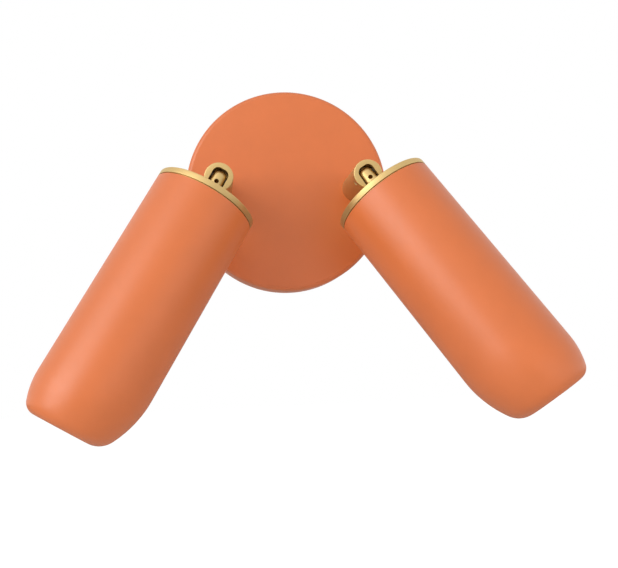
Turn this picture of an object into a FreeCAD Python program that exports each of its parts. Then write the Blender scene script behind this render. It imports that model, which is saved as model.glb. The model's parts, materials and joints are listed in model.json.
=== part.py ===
"""Wall light: a round plate with two posts, each carrying a pivoting cylindrical spotlight.

Millimetres, +Z up. The origin is the centre of the plate's back. The wall is the plane
Y = 0 and the light stands out from it towards -Y, so a point is given as its place along
the wall, its distance out from the wall, and its height.

A head is drawn hanging straight down from its pivot, and a post with its slot open
downwards. Both are then turned into the pose that the light rests in.
"""
import FreeCAD, Part

import math
import os

# Wall plate
PLATE_RADIUS = 60.0
PLATE_DEPTH = 22.0
PLATE_ROUNDING = 2.8        # radius of the soft edge round the front
SHEET = 1.2                 # thickness of the pressed cover and of the spun shades

# Posts
POST_OFFSET = 41.0          # from the plate's centre to each post
POST_RADIUS = 8.0
POST_LENGTH = 47.0          # from the plate's face to the free end
POST_CHAMFER = 0.5
TAIL_RADIUS = 5.0           # threaded tail that goes through the cover
TAIL_END = 13.8             # how far out from the wall the tail ends
WIREWAY_RADIUS = 2.25
SLOT_WIDTH = 9.2
SLOT_TOP = 5.0              # from the post's axis up to the slot's closed end
SLOT_ROUNDING = 2.5
PIVOT_SETBACK = 4.7         # from the free end back to the pivot
SLOT_FLOOR_GAP = 0.9        # between the tongue and the bottom of the slot
RUNNING_GAP = 0.05          # radial play of a shaft that turns in a hole
SNUG_GAP = 0.02             # radial play of a piece that is fixed in a hole

# Swivel stack behind the cover, and its stop
WASHER_RADIUS = 8.5
WASHER_THICKNESS = 1.0
SWIVEL_NUT_FLATS = 14.0
SWIVEL_NUT_HEIGHT = 4.0
STOP_STUD_RADIUS = 1.5
STOP_STUD_OFFSET = 10.5     # from the post's axis, towards the plate's centre
STOP_LOBE_RADIUS = 12.5
STOP_PLAY = 0.5             # degrees left at each end of the half-turn swivel

# Knuckle
TONGUE_RADIUS = 3.5
PIN_RADIUS = 1.5
PIN_HALF_LENGTH = 7.7
SPOTFACE_RADIUS = 2.1
SPOTFACE_OFFSET = 3.1       # from the knuckle's middle to the faces that the washers bear on
TONGUE_FOOT_RADIUS = 4.5
TONGUE_FOOT_HEIGHT = 1.2
STUD_RADIUS = 2.9
STUD_END = 23.0             # below the pivot
LEAD_HOLE_RADIUS = 1.35
CROSS_HOLE_DROP = 3.4       # from the pivot down to the hole where the lead comes out

# Heads
HEAD_RADIUS = 28.5
PIVOT_TO_CAP = 13.7
CAP_TO_MOUTH = 143.3        # to the middle of the mouth
CAP_EDGE = 3.4              # height of the brass ring that shows
CAP_CHAMFER = 0.6
SHADOW_GAP = 0.6            # groove between the cap's ring and the shade
SHADOW_GROOVE_RADIUS = 27.6
SPIGOT_LENGTH = 8.5
SPIGOT_WALL = 1.5
CAP_NUT_FLATS = 10.0
CAP_NUT_HEIGHT = 3.0
SHADE_SCREW_RADIUS = 1.5
SHADE_SCREW_ANGLES = (-55.0, 55.0)  # about the head's axis, from the side that faces the wall

# Mouth end: each side curves in along a long arc and then a lip of its own, so the mouth
# sits off the head's axis. Its plane leans a little, so that the light falls near the wall.
INNER_ARC_RADIUS = 58.0
INNER_ARC_RUN = 33.5        # height of the long arc's start above the mouth
INNER_LIP_RADIUS = 12.0
OUTER_ARC_RADIUS = 43.0
OUTER_ARC_RUN = 20.3
OUTER_LIP_RADIUS = 7.0
STRAIGHT_LEAD_IN = 6.0      # straight stretch that starts the narrowed end
MOUTH_LEAN = 4.0
LONG_ARC_STATIONS = 8
LIP_STATIONS = 6
OPENING_RADIUS = 14.2

# Lampholder and lamp, on the mouth's own centre line
STRAP_HALF_WIDTH = 8.0
STRAP_HALF_SPAN = 14.0
STRAP_SHEET = 1.0
STRAP_BEND = 3.0
HOLDER_TOP = 82.0           # below the pivot
HOLDER_HEIGHT = 18.0
HOLDER_RADIUS = 12.5
HOLDER_SCREW_OFFSET = 8.6
COUNTERBORE_RADIUS = 2.8
COUNTERBORE_DEPTH = 2.0
PIN_HOLE_RADIUS = 1.0
LEAD_ENTRY_RADIUS = 2.5
LAMP_BASE_RADIUS = 8.0
LAMP_BASE_LENGTH = 16.0
CAPSULE_RADIUS = 7.2
CAPSULE_LENGTH = 32.0       # from the lamp's base to the capsule's round end
LAMP_PIN_OFFSET = 4.5
LAMP_PIN_LENGTH = 6.5
LAMP_PIN_RADIUS = 0.6

# Wall bracket
BAR_HALF_WIDTH = 9.0
BAR_SHEET = 1.8
BAR_BEND = 2.6
EAR_OFFSET = 57.6           # outer face of each ear
EAR_HEIGHT = 16.0
SCREW_SLOT_OFFSET = 34.0
SCREW_SLOT_LENGTH = 12.0
SCREW_SLOT_RADIUS = 2.5
COVER_SCREW_RADIUS = 2.0
COVER_SCREW_OUT = 10.0      # from the wall to the cover screws
COVER_SCREW_LENGTH = 8.5
EARTH_PLACE = -20.0         # earth screw and tag, along the bar
EARTH_HEAD_RADIUS = 2.9
EARTH_HEAD_HEIGHT = 2.2
TAG_RING_RADIUS = 4.0
TAG_SHEET = 0.8
TAG_BARREL_RADIUS = 1.5
TAG_BARREL_OUT = 3.5        # from the wall to the barrel's centre line
TAG_BARREL_END = 8.0
EARTH_LEAD_END = 5.0

# Terminal block
BLOCK_HALF_LENGTH = 12.0
BLOCK_HALF_WIDTH = 8.0
BLOCK_BASE_TOP = 9.8        # out from the wall
BLOCK_TOP = 13.6
POLE_PITCH = 8.0
TOWER_RADIUS = 3.2
TOWER_OFFSET = 4.4
TUNNEL_OUT = 6.0
TUNNEL_RADIUS = 2.1
FIXING_HOLE_RADIUS = 1.6
SMALL_HEAD_RADIUS = 2.6     # heads of the small screws here and in the lampholders
SMALL_HEAD_HEIGHT = 1.6

# Leads, and the corners that they are led round behind the cover
FEED_RADIUS = 1.4
HEAD_LEAD_RADIUS = 1.2
EARTH_LEAD_RADIUS = 0.9
BEND_SHARE = 0.45           # part of its shorter run that a bend takes
EARTH_LOOP_TOP = -17.0
EARTH_LOOP_PLACE = -11.0
EARTH_LOOP_BOTTOM = -23.0
EARTH_LOOP_END = -15.0
FEED_RISE = 22.0
FEED_TOP_PLACE = 26.0
FEED_TOP_OUT = 5.0
FEED_TOP = 27.0
FEED_TURN = 19.0
FEED_TURN_OUT = 4.2
HEAD_LEAD_START = 7.4       # below the pivot, inside the tongue's hole
HEAD_LEAD_UPPER = 38.0
HEAD_LEAD_LOWER = 60.0

# Rest pose: swivel from straight down (positive to the right), then tilt out from the wall
SIDES = {"left": -1, "right": 1}
SWIVEL = {-1: -31.1, 1: 33.0}
TILT = {-1: 11.5, 1: 16.0}

# Worked out from the sizes above
PLATE_FACE_INSIDE = PLATE_DEPTH - SHEET
POST_FRONT = PLATE_DEPTH + POST_LENGTH
PIVOT_OUT = POST_FRONT - PIVOT_SETBACK
SLOT_FLOOR = PIVOT_OUT - TONGUE_RADIUS - SLOT_FLOOR_GAP
CAP_INSIDE = PIVOT_TO_CAP + CAP_EDGE
SHADE_TOP = CAP_INSIDE + SHADOW_GAP
MOUTH_DROP = PIVOT_TO_CAP + CAP_TO_MOUTH
HOLDER_FACE = HOLDER_TOP + HOLDER_HEIGHT
LAMP_SHOULDER = HOLDER_FACE + LAMP_BASE_LENGTH
SPIGOT_RADIUS = HEAD_RADIUS - SHEET - RUNNING_GAP
FULL_TURN = 360.0
QUARTER_TURN = 90.0
EPS = 1e-4                  # smaller than any size here; tells equal lengths from others
PAST = 1.0                  # how far a cutter runs past the face it opens

UP = FreeCAD.Vector(0, 0, 1)
OUT = FreeCAD.Vector(0, -1, 0)
ALONG = FreeCAD.Vector(1, 0, 0)
ORIGIN = FreeCAD.Vector(0, 0, 0)


# ---- small helpers -----------------------------------------------------------------------

def at(along, out, height):
    """Point at a place along the wall, a distance out from it and a height."""
    return FreeCAD.Vector(along, -out, height)


def rod(radius, start, end):
    """Round bar of the given radius between two points."""
    span = end - start
    return Part.makeCylinder(radius, span.Length, start, span)


def block(low, high):
    """Box between two opposite corners, given in any order."""
    corner = at(min(low.x, high.x), -min(low.y, high.y), min(low.z, high.z))
    size = high - low
    return Part.makeBox(abs(size.x), abs(size.y), abs(size.z), corner)


def turned_down(profile):
    """Solid turned about the head's axis from (radius, drop below the pivot) corners."""
    points = [at(radius, 0, -drop) for radius, drop in profile]
    face = Part.Face(Part.makePolygon(points + points[:1]))
    return face.revolve(ORIGIN, UP, FULL_TURN)


def hexagon(across_flats, start, end):
    """Six-sided bar between two points."""
    span = end - start
    corner_radius = across_flats / math.sqrt(3.0)
    side = span.cross(UP if abs(span.z) < span.Length / 2 else ALONG)
    side.normalize()
    corners = []
    for number in range(6):
        turn = FreeCAD.Rotation(span, number * FULL_TURN / 6)
        corners.append(start + turn.multVec(side * corner_radius))
    return Part.Face(Part.makePolygon(corners + corners[:1])).extrude(span)


def ring_edges(solid, radius, centre):
    """Round edges of a solid that have this radius and this centre."""
    found = []
    for edge in solid.Edges:
        curve = edge.Curve
        if isinstance(curve, Part.Circle) and abs(curve.Radius - radius) < EPS:
            if (curve.Center - centre).Length < EPS:
                found.append(edge)
    return found


def edges_through(solid, points):
    """Straight edges of a solid that pass through one of the points at their middle."""
    found = []
    for edge in solid.Edges:
        middle = edge.valueAt((edge.FirstParameter + edge.LastParameter) / 2)
        if any((middle - point).Length < EPS for point in points):
            found.append(edge)
    return found


def group(solids):
    """Several separate solids kept as one sub-part."""
    return Part.makeCompound(solids)


def lead(name, radius, points):
    """Round lead along straight runs joined by arcs, with its bends' radii printed.

    Each bend takes the same share of the shorter of its two runs.
    """
    edges = []
    bends = []
    start = points[0]
    for before, corner, after in zip(points, points[1:], points[2:]):
        inward = (before - corner).normalize()
        outward = (after - corner).normalize()
        reach = BEND_SHARE * min((before - corner).Length, (after - corner).Length)
        half_angle = inward.getAngle(outward) / 2
        bend = reach * math.tan(half_angle)
        middle_way = (inward + outward).normalize()
        middle = corner + middle_way * (bend / math.sin(half_angle) - bend)
        arc_start = corner + inward * reach
        arc_end = corner + outward * reach
        edges.append(Part.LineSegment(start, arc_start).toShape())
        edges.append(Part.Arc(arc_start, middle, arc_end).toShape())
        bends.append(bend)
        start = arc_end
    edges.append(Part.LineSegment(start, points[-1]).toShape())
    route = Part.Wire(edges)
    section = Part.Wire(Part.makeCircle(radius, points[0], points[1] - points[0]))
    tube = route.makePipeShell([section], True, False)
    expected = math.pi * radius ** 2 * route.Length
    bend_text = ", ".join(f"{bend:.1f}" for bend in bends)
    print(f"{name}: bend radii {bend_text}, volume {tube.Volume:.0f} of {expected:.0f}")
    return tube


def pose_post(shape, side):
    """Turn a post's piece to its swivel and carry it to its place on the plate."""
    posed = shape.copy()
    posed.rotate(ORIGIN, FreeCAD.Vector(0, 1, 0), -SWIVEL[side])
    posed.translate(at(side * POST_OFFSET, 0, 0))
    return posed


def pose_head(shape, side):
    """Tilt a head's piece about the pivot, then swivel it and carry it to its post."""
    posed = shape.copy()
    posed.rotate(ORIGIN, ALONG, -TILT[side])
    posed.translate(at(0, PIVOT_OUT, 0))
    return pose_post(posed, side)


# ---- wall plate --------------------------------------------------------------------------

def cover():
    """Pressed round dish with holes for the posts and cover screws, and two stop studs."""
    outside = rod(PLATE_RADIUS, at(0, 0, 0), at(0, PLATE_DEPTH, 0))
    front_edge = ring_edges(outside, PLATE_RADIUS, at(0, PLATE_DEPTH, 0))
    outside = outside.makeFillet(PLATE_ROUNDING, front_edge)
    inner_radius = PLATE_RADIUS - SHEET
    inside = rod(inner_radius, at(0, 0, 0), at(0, PLATE_FACE_INSIDE, 0))
    inner_edge = ring_edges(inside, inner_radius, at(0, PLATE_FACE_INSIDE, 0))
    inside = inside.makeChamfer(PLATE_ROUNDING - SHEET, inner_edge)
    dish = outside.cut(inside)
    for side in SIDES.values():
        post_hole = rod(
            TAIL_RADIUS + RUNNING_GAP,
            at(side * POST_OFFSET, PLATE_FACE_INSIDE - PAST, 0),
            at(side * POST_OFFSET, PLATE_DEPTH + PAST, 0),
        )
        screw_hole = rod(
            COVER_SCREW_RADIUS + RUNNING_GAP,
            at(side * (PLATE_RADIUS - SHEET - PAST), COVER_SCREW_OUT, 0),
            at(side * (PLATE_RADIUS + PAST), COVER_SCREW_OUT, 0),
        )
        stud_place = side * (POST_OFFSET - STOP_STUD_OFFSET)
        stud = rod(
            STOP_STUD_RADIUS,
            at(stud_place, PLATE_FACE_INSIDE, 0),
            at(stud_place, PLATE_FACE_INSIDE - 3 * WASHER_THICKNESS, 0),
        )
        dish = dish.cut(post_hole).cut(screw_hole).fuse(stud)
    return dish.removeSplitter()


def screw_slot(side):
    """Cutter for one slotted hole in the wall bracket, running along the bar."""
    half_run = SCREW_SLOT_LENGTH / 2 - SCREW_SLOT_RADIUS
    ends = [side * SCREW_SLOT_OFFSET - half_run, side * SCREW_SLOT_OFFSET + half_run]
    slot = block(
        at(ends[0], -PAST, -SCREW_SLOT_RADIUS),
        at(ends[1], BAR_SHEET + PAST, SCREW_SLOT_RADIUS),
    )
    for end in ends:
        round_end = rod(SCREW_SLOT_RADIUS, at(end, -PAST, 0), at(end, BAR_SHEET + PAST, 0))
        slot = slot.fuse(round_end)
    return slot


def wall_bracket():
    """Steel bar on the wall, with screw slots and an ear bent out at each end."""
    outline = [
        at(-EAR_OFFSET, 0, 0),
        at(EAR_OFFSET, 0, 0),
        at(EAR_OFFSET, EAR_HEIGHT, 0),
        at(EAR_OFFSET - BAR_SHEET, EAR_HEIGHT, 0),
        at(EAR_OFFSET - BAR_SHEET, BAR_SHEET, 0),
        at(-EAR_OFFSET + BAR_SHEET, BAR_SHEET, 0),
        at(-EAR_OFFSET + BAR_SHEET, EAR_HEIGHT, 0),
        at(-EAR_OFFSET, EAR_HEIGHT, 0),
    ]
    lowered = [point - UP * BAR_HALF_WIDTH for point in outline]
    face = Part.Face(Part.makePolygon(lowered + lowered[:1]))
    bar = face.extrude(UP * 2 * BAR_HALF_WIDTH)
    outer_bends = edges_through(bar, [outline[0], outline[1]])
    bar = bar.makeFillet(BAR_BEND, outer_bends)
    inner_bends = edges_through(bar, [outline[4], outline[5]])
    bar = bar.makeFillet(BAR_BEND - BAR_SHEET, inner_bends)
    for side in SIDES.values():
        ear_hole = rod(
            COVER_SCREW_RADIUS,
            at(side * (EAR_OFFSET - BAR_SHEET - PAST), COVER_SCREW_OUT, 0),
            at(side * (EAR_OFFSET + PAST), COVER_SCREW_OUT, 0),
        )
        bar = bar.cut(screw_slot(side)).cut(ear_hole)
    return bar


def cover_screws():
    """Grub screw at each side, through the cover's wall into the bracket's ear."""
    solids = []
    for side in SIDES.values():
        head_end = at(side * (PLATE_RADIUS - POST_CHAMFER), COVER_SCREW_OUT, 0)
        tip = head_end - ALONG * side * COVER_SCREW_LENGTH
        socket_floor = head_end - ALONG * side * COVER_SCREW_RADIUS
        screw = rod(COVER_SCREW_RADIUS - SNUG_GAP, tip, head_end)
        socket_mouth = head_end + ALONG * side * PAST
        solids.append(screw.cut(hexagon(COVER_SCREW_RADIUS, socket_floor, socket_mouth)))
    return group(solids)


def pole_places():
    """Places of the terminal block's three poles along the wall."""
    return [-POLE_PITCH, 0.0, POLE_PITCH]


def terminal_block():
    """Three-pole block: a base with two screw towers and one wire tunnel to a pole."""
    body = block(
        at(-BLOCK_HALF_LENGTH, BAR_SHEET, -BLOCK_HALF_WIDTH),
        at(BLOCK_HALF_LENGTH, BLOCK_BASE_TOP, BLOCK_HALF_WIDTH),
    )
    for place in pole_places():
        for height in (-TOWER_OFFSET, TOWER_OFFSET):
            foot = at(place, BLOCK_BASE_TOP - PAST, height)
            body = body.fuse(rod(TOWER_RADIUS, foot, at(place, BLOCK_TOP, height)))
        tunnel_ends = [
            at(place, TUNNEL_OUT, -BLOCK_HALF_WIDTH - PAST),
            at(place, TUNNEL_OUT, BLOCK_HALF_WIDTH + PAST),
        ]
        body = body.cut(rod(TUNNEL_RADIUS, *tunnel_ends))
    place = POLE_PITCH / 2
    screw_hole = rod(FIXING_HOLE_RADIUS, at(place, 0, 0), at(place, BLOCK_TOP, 0))
    return body.cut(screw_hole)


def terminal_tubes():
    """Brass tube in each wire tunnel, drilled through for its clamping screws."""
    solids = []
    half_length = BLOCK_HALF_WIDTH - PAST
    for place in pole_places():
        ends = [at(place, TUNNEL_OUT, -half_length), at(place, TUNNEL_OUT, half_length)]
        solids.append(rod(TUNNEL_RADIUS - SNUG_GAP, *ends).cut(rod(PIN_RADIUS, *ends)))
    return group(solids)


def slotted_screw(radius, head_radius, head_height, tip, seat):
    """Pan-head screw from its tip to the face its head sits on, with a driver slot."""
    direction = seat - tip
    direction.normalize()
    top = seat + direction * head_height
    screw = rod(radius, tip, seat).fuse(rod(head_radius, seat, top))
    width = head_radius / 4
    across = direction.cross(UP if abs(direction.z) < 0.5 else ALONG)
    reach = across * (head_radius + PAST)
    half_groove = direction.cross(across) * (width / 2)
    groove_floor = top - direction * (head_height / 2)
    corners = [
        groove_floor - reach - half_groove,
        groove_floor + reach - half_groove,
        groove_floor + reach + half_groove,
        groove_floor - reach + half_groove,
    ]
    groove = Part.Face(Part.makePolygon(corners + corners[:1])).extrude(direction * PAST * 2)
    return screw.cut(groove)


def terminal_screws():
    """Clamping screws that show on the block's towers, two to a pole."""
    solids = []
    for place in pole_places():
        for height in (-TOWER_OFFSET, TOWER_OFFSET):
            seat = at(place, BLOCK_TOP, height)
            solids.append(rod(PIN_RADIUS, seat, seat + OUT * TAG_SHEET))
    return group(solids)


def terminal_fixing_screw():
    """Screw that holds the terminal block to the bar."""
    place = POLE_PITCH / 2
    return slotted_screw(
        PIN_RADIUS,
        SMALL_HEAD_RADIUS,
        SMALL_HEAD_HEIGHT,
        at(place, BAR_SHEET, 0),
        at(place, BLOCK_BASE_TOP, 0),
    )


def earth_tag():
    """Ring tag under the earth screw, with a barrel that grips the earth lead."""
    seat = at(EARTH_PLACE, BAR_SHEET, 0)
    ring = rod(TAG_RING_RADIUS, seat, seat + OUT * TAG_SHEET)
    barrel = rod(
        TAG_BARREL_RADIUS,
        at(EARTH_PLACE, TAG_BARREL_OUT, -TAG_RING_RADIUS + PAST),
        at(EARTH_PLACE, TAG_BARREL_OUT, -TAG_BARREL_END),
    )
    bore = rod(
        EARTH_LEAD_RADIUS + SNUG_GAP,
        at(EARTH_PLACE, TAG_BARREL_OUT, -EARTH_LEAD_END),
        at(EARTH_PLACE, TAG_BARREL_OUT, -TAG_BARREL_END - PAST),
    )
    screw_hole = rod(COVER_SCREW_RADIUS + RUNNING_GAP, seat - OUT * PAST, seat + OUT * TAG_RING_RADIUS)
    return ring.fuse(barrel).cut(screw_hole).cut(bore)


def earth_screw():
    """Screw that clamps the earth tag to the bar."""
    seat = at(EARTH_PLACE, BAR_SHEET + TAG_SHEET, 0)
    tip = at(EARTH_PLACE, BAR_SHEET, 0)
    return slotted_screw(COVER_SCREW_RADIUS, EARTH_HEAD_RADIUS, EARTH_HEAD_HEIGHT, tip, seat)


def earth_lead():
    """Lead from the block's middle pole to the earth tag."""
    points = [
        at(0, TUNNEL_OUT, -BLOCK_HALF_WIDTH),
        at(0, TUNNEL_OUT, EARTH_LOOP_TOP),
        at(EARTH_LOOP_PLACE, TUNNEL_OUT, EARTH_LOOP_BOTTOM),
        at(EARTH_PLACE, TAG_BARREL_OUT, EARTH_LOOP_END),
        at(EARTH_PLACE, TAG_BARREL_OUT, -EARTH_LEAD_END),
    ]
    return lead("earth_lead", EARTH_LEAD_RADIUS, points)


def feed_lead(side):
    """Lead from an outer pole over to its post and out along the post's wireway."""
    post = side * POST_OFFSET
    points = [
        at(side * POLE_PITCH, TUNNEL_OUT, BLOCK_HALF_WIDTH),
        at(side * POLE_PITCH, TUNNEL_OUT, FEED_RISE),
        at(side * FEED_TOP_PLACE, FEED_TOP_OUT, FEED_TOP),
        at(post, FEED_TURN_OUT, FEED_TURN),
        at(post, FEED_TURN_OUT, 0),
        at(post, SLOT_FLOOR - PAST, 0),
    ]
    return lead(f"feed_lead {side:+d}", FEED_RADIUS, points)


# ---- posts -------------------------------------------------------------------------------

def post():
    """Round bar with a threaded tail, a wireway and a slot that leaves a fork at its end."""
    bar = rod(POST_RADIUS, at(0, PLATE_DEPTH, 0), at(0, POST_FRONT, 0))
    bar = bar.makeChamfer(POST_CHAMFER, ring_edges(bar, POST_RADIUS, at(0, POST_FRONT, 0)))
    bar = bar.fuse(rod(TAIL_RADIUS, at(0, TAIL_END, 0), at(0, PLATE_DEPTH, 0)))
    slot = block(
        at(-SLOT_WIDTH / 2, SLOT_FLOOR, -POST_RADIUS - PAST),
        at(SLOT_WIDTH / 2, POST_FRONT + PAST, SLOT_TOP),
    )
    middle_out = (SLOT_FLOOR + POST_FRONT + PAST) / 2
    closed_corners = [
        at(side * SLOT_WIDTH / 2, middle_out, SLOT_TOP) for side in SIDES.values()
    ]
    slot = slot.makeFillet(SLOT_ROUNDING, edges_through(slot, closed_corners))
    pin_hole = rod(
        PIN_RADIUS + SNUG_GAP,
        at(-POST_RADIUS - PAST, PIVOT_OUT, 0),
        at(POST_RADIUS + PAST, PIVOT_OUT, 0),
    )
    wireway = rod(WIREWAY_RADIUS, at(0, TAIL_END - PAST, 0), at(0, SLOT_FLOOR + PAST, 0))
    for cutter in (slot, pin_hole, wireway):
        bar = bar.cut(cutter)
    return bar.removeSplitter()


def tail_ring(outer_radius, start, height):
    """Washer on the post's tail, from a distance out from the wall back towards it."""
    disc = rod(outer_radius, at(0, start, 0), at(0, start - height, 0))
    hole_radius = TAIL_RADIUS + SNUG_GAP
    return disc.cut(rod(hole_radius, at(0, start + PAST, 0), at(0, start - height - PAST, 0)))


def swivel_washer():
    """Friction washer between the cover and the stop washer."""
    return tail_ring(WASHER_RADIUS, PLATE_FACE_INSIDE, WASHER_THICKNESS)


def stop_washer():
    """Washer with a wide lobe that meets the cover's stud at each end of the swivel."""
    start = PLATE_FACE_INSIDE - WASHER_THICKNESS
    stud_half_angle = math.degrees(math.asin(STOP_STUD_RADIUS / STOP_STUD_OFFSET))
    lobe_half_angle = QUARTER_TURN - stud_half_angle - STOP_PLAY
    lobe = Part.makeCylinder(
        STOP_LOBE_RADIUS, WASHER_THICKNESS, ORIGIN, UP, 2 * lobe_half_angle
    )
    lobe.rotate(ORIGIN, UP, -QUARTER_TURN - lobe_half_angle)
    lobe.rotate(ORIGIN, ALONG, QUARTER_TURN)
    lobe.translate(at(0, start - WASHER_THICKNESS, 0))
    disc = rod(WASHER_RADIUS, at(0, start, 0), at(0, start - WASHER_THICKNESS, 0))
    hole = rod(TAIL_RADIUS + SNUG_GAP, at(0, start + PAST, 0), at(0, TAIL_END, 0))
    return disc.fuse(lobe).cut(hole).removeSplitter()


def swivel_nut():
    """Lock nut on the post's tail."""
    start = PLATE_FACE_INSIDE - 2 * WASHER_THICKNESS
    nut = hexagon(SWIVEL_NUT_FLATS, at(0, start, 0), at(0, start - SWIVEL_NUT_HEIGHT, 0))
    return nut.cut(rod(TAIL_RADIUS + SNUG_GAP, at(0, start + PAST, 0), at(0, 0, 0)))


def pivot_pin():
    """Pin across the fork that the tongue tilts on."""
    return rod(PIN_RADIUS, at(-PIN_HALF_LENGTH, PIVOT_OUT, 0), at(PIN_HALF_LENGTH, PIVOT_OUT, 0))


def pivot_washers():
    """Thin washer on the pin at each side of the tongue."""
    solids = []
    for side in SIDES.values():
        start = at(side * SPOTFACE_OFFSET, PIVOT_OUT, 0)
        end = at(side * SLOT_WIDTH / 2, PIVOT_OUT, 0)
        ring = rod(SPOTFACE_RADIUS - RUNNING_GAP, start, end)
        solids.append(ring.cut(rod(PIN_RADIUS + SNUG_GAP, start, end)))
    return group(solids)


# ---- heads -------------------------------------------------------------------------------

def tongue():
    """Round bar with a ball end on the pin, a foot on the cap and a stud through it."""
    ball = Part.makeSphere(TONGUE_RADIUS)
    shank = rod(TONGUE_RADIUS, ORIGIN, at(0, 0, -PIVOT_TO_CAP))
    foot = rod(
        TONGUE_FOOT_RADIUS,
        at(0, 0, TONGUE_FOOT_HEIGHT - PIVOT_TO_CAP),
        at(0, 0, -PIVOT_TO_CAP),
    )
    stud = rod(STUD_RADIUS, at(0, 0, -PIVOT_TO_CAP), at(0, 0, -STUD_END))
    body = ball.fuse([shank, foot, stud])
    for side in SIDES.values():
        spotface = rod(
            SPOTFACE_RADIUS, at(side * SPOTFACE_OFFSET, 0, 0), at(side * POST_RADIUS, 0, 0)
        )
        body = body.cut(spotface)
    pin_hole = rod(PIN_RADIUS + RUNNING_GAP, at(-POST_RADIUS, 0, 0), at(POST_RADIUS, 0, 0))
    lead_hole = rod(LEAD_HOLE_RADIUS, at(0, 0, -CROSS_HOLE_DROP), at(0, 0, -STUD_END - PAST))
    cross_hole = rod(
        LEAD_HOLE_RADIUS,
        at(0, -POST_RADIUS, -CROSS_HOLE_DROP),
        at(0, POST_RADIUS, -CROSS_HOLE_DROP),
    )
    return body.cut(pin_hole).cut(lead_hole).cut(cross_hole).removeSplitter()


def radial_rod(radius, inner, outer, angle, drop):
    """Round bar across a head's wall, at an angle from the side that faces the wall."""
    turn = math.radians(angle)
    ends = []
    for reach in (inner, outer):
        ends.append(at(reach * math.sin(turn), -reach * math.cos(turn), -drop))
    return rod(radius, *ends)


def shade_screw_drop():
    """Depth of the shade's screws below the pivot: half-way down the cap's spigot."""
    return SHADE_TOP + SPIGOT_LENGTH / 2


def cap():
    """Turned brass cap: a ring that shows, a fine groove and a spigot inside the shade."""
    outline = [
        (0, PIVOT_TO_CAP),
        (HEAD_RADIUS - CAP_CHAMFER, PIVOT_TO_CAP),
        (HEAD_RADIUS, PIVOT_TO_CAP + CAP_CHAMFER),
        (HEAD_RADIUS, CAP_INSIDE),
        (SHADOW_GROOVE_RADIUS, CAP_INSIDE),
        (SHADOW_GROOVE_RADIUS, SHADE_TOP),
        (SPIGOT_RADIUS, SHADE_TOP),
        (SPIGOT_RADIUS, SHADE_TOP + SPIGOT_LENGTH),
        (SPIGOT_RADIUS - SPIGOT_WALL, SHADE_TOP + SPIGOT_LENGTH),
        (SPIGOT_RADIUS - SPIGOT_WALL, CAP_INSIDE),
        (0, CAP_INSIDE),
    ]
    body = turned_down(outline)
    stud_hole = rod(STUD_RADIUS + SNUG_GAP, at(0, 0, 0), at(0, 0, -STUD_END))
    body = body.cut(stud_hole)
    for angle in SHADE_SCREW_ANGLES:
        body = body.cut(
            radial_rod(SHADE_SCREW_RADIUS, STUD_END, HEAD_RADIUS, angle, shade_screw_drop())
        )
    return body


def side_reach(rise, arc_radius, arc_run, lip_radius, inset):
    """How far one side stands from the head's axis at a rise above the mouth.

    Above arc_run the side is straight. Below it the long arc curves in, and the lip's arc
    is tangent to the long arc and to the mouth. The inside has the same centres, with
    both arcs smaller by the inset.
    """
    run = max(0.0, arc_run - rise)
    between = arc_radius - lip_radius
    lip_height = arc_run - (arc_radius - inset) * (arc_run - lip_radius) / between
    if rise > lip_height:
        return HEAD_RADIUS - arc_radius + math.sqrt((arc_radius - inset) ** 2 - run ** 2)
    centre_offset = math.sqrt(between ** 2 - (arc_run - lip_radius) ** 2)
    drop = min(lip_radius - rise, lip_radius - inset)
    curve = math.sqrt((lip_radius - inset) ** 2 - drop ** 2)
    return HEAD_RADIUS - arc_radius + centre_offset + curve


def mouth_section(rise, inset):
    """Off-axis shift and radius of the mouth end's round section at a rise above the mouth."""
    inner = side_reach(rise, INNER_ARC_RADIUS, INNER_ARC_RUN, INNER_LIP_RADIUS, inset)
    outer = side_reach(rise, OUTER_ARC_RADIUS, OUTER_ARC_RUN, OUTER_LIP_RADIUS, inset)
    return (outer - inner) / 2, (outer + inner) / 2


def mouth_shift():
    """How far the mouth's centre, and the lamp with it, sits off the head's axis."""
    return mouth_section(0.0, 0.0)[0]


def mouth_rises(inset):
    """Rises of the sections above the mouth: even down the long arcs, closer on the lips."""
    lip_top = INNER_LIP_RADIUS / 2
    neck_top = INNER_ARC_RUN + STRAIGHT_LEAD_IN
    rises = []
    for number in range(LONG_ARC_STATIONS):
        rises.append(neck_top + (lip_top - neck_top) * number / LONG_ARC_STATIONS)
    for number in range(LIP_STATIONS + 1):
        share = (1.0 - number / LIP_STATIONS) ** 2
        rises.append(inset + (lip_top - inset) * share)
    return rises


def mouth_normal(rise):
    """Direction of a section's plane at a rise: along the axis, then leaning to the wall."""
    share = 1.0 - rise / (INNER_ARC_RUN + STRAIGHT_LEAD_IN)
    lean = math.radians(MOUTH_LEAN) * share
    return at(0, -math.sin(lean), -math.cos(lean))


def shade_body(side, inset, top_drop):
    """Solid tube whose lower end narrows towards a mouth that is set to the outer side."""
    sections = []
    for rise in mouth_rises(inset):
        shift, radius = mouth_section(rise, inset)
        centre = at(side * shift, 0, rise - MOUTH_DROP)
        circle = Part.makeCircle(radius, centre, mouth_normal(rise))
        sections.append(Part.Wire(circle))
    neck = Part.makeLoft(sections, True, False)
    neck_drop = MOUTH_DROP - INNER_ARC_RUN - STRAIGHT_LEAD_IN
    tube = rod(HEAD_RADIUS - inset, at(0, 0, -top_drop), at(0, 0, -neck_drop))
    return tube.fuse(neck)


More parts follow.
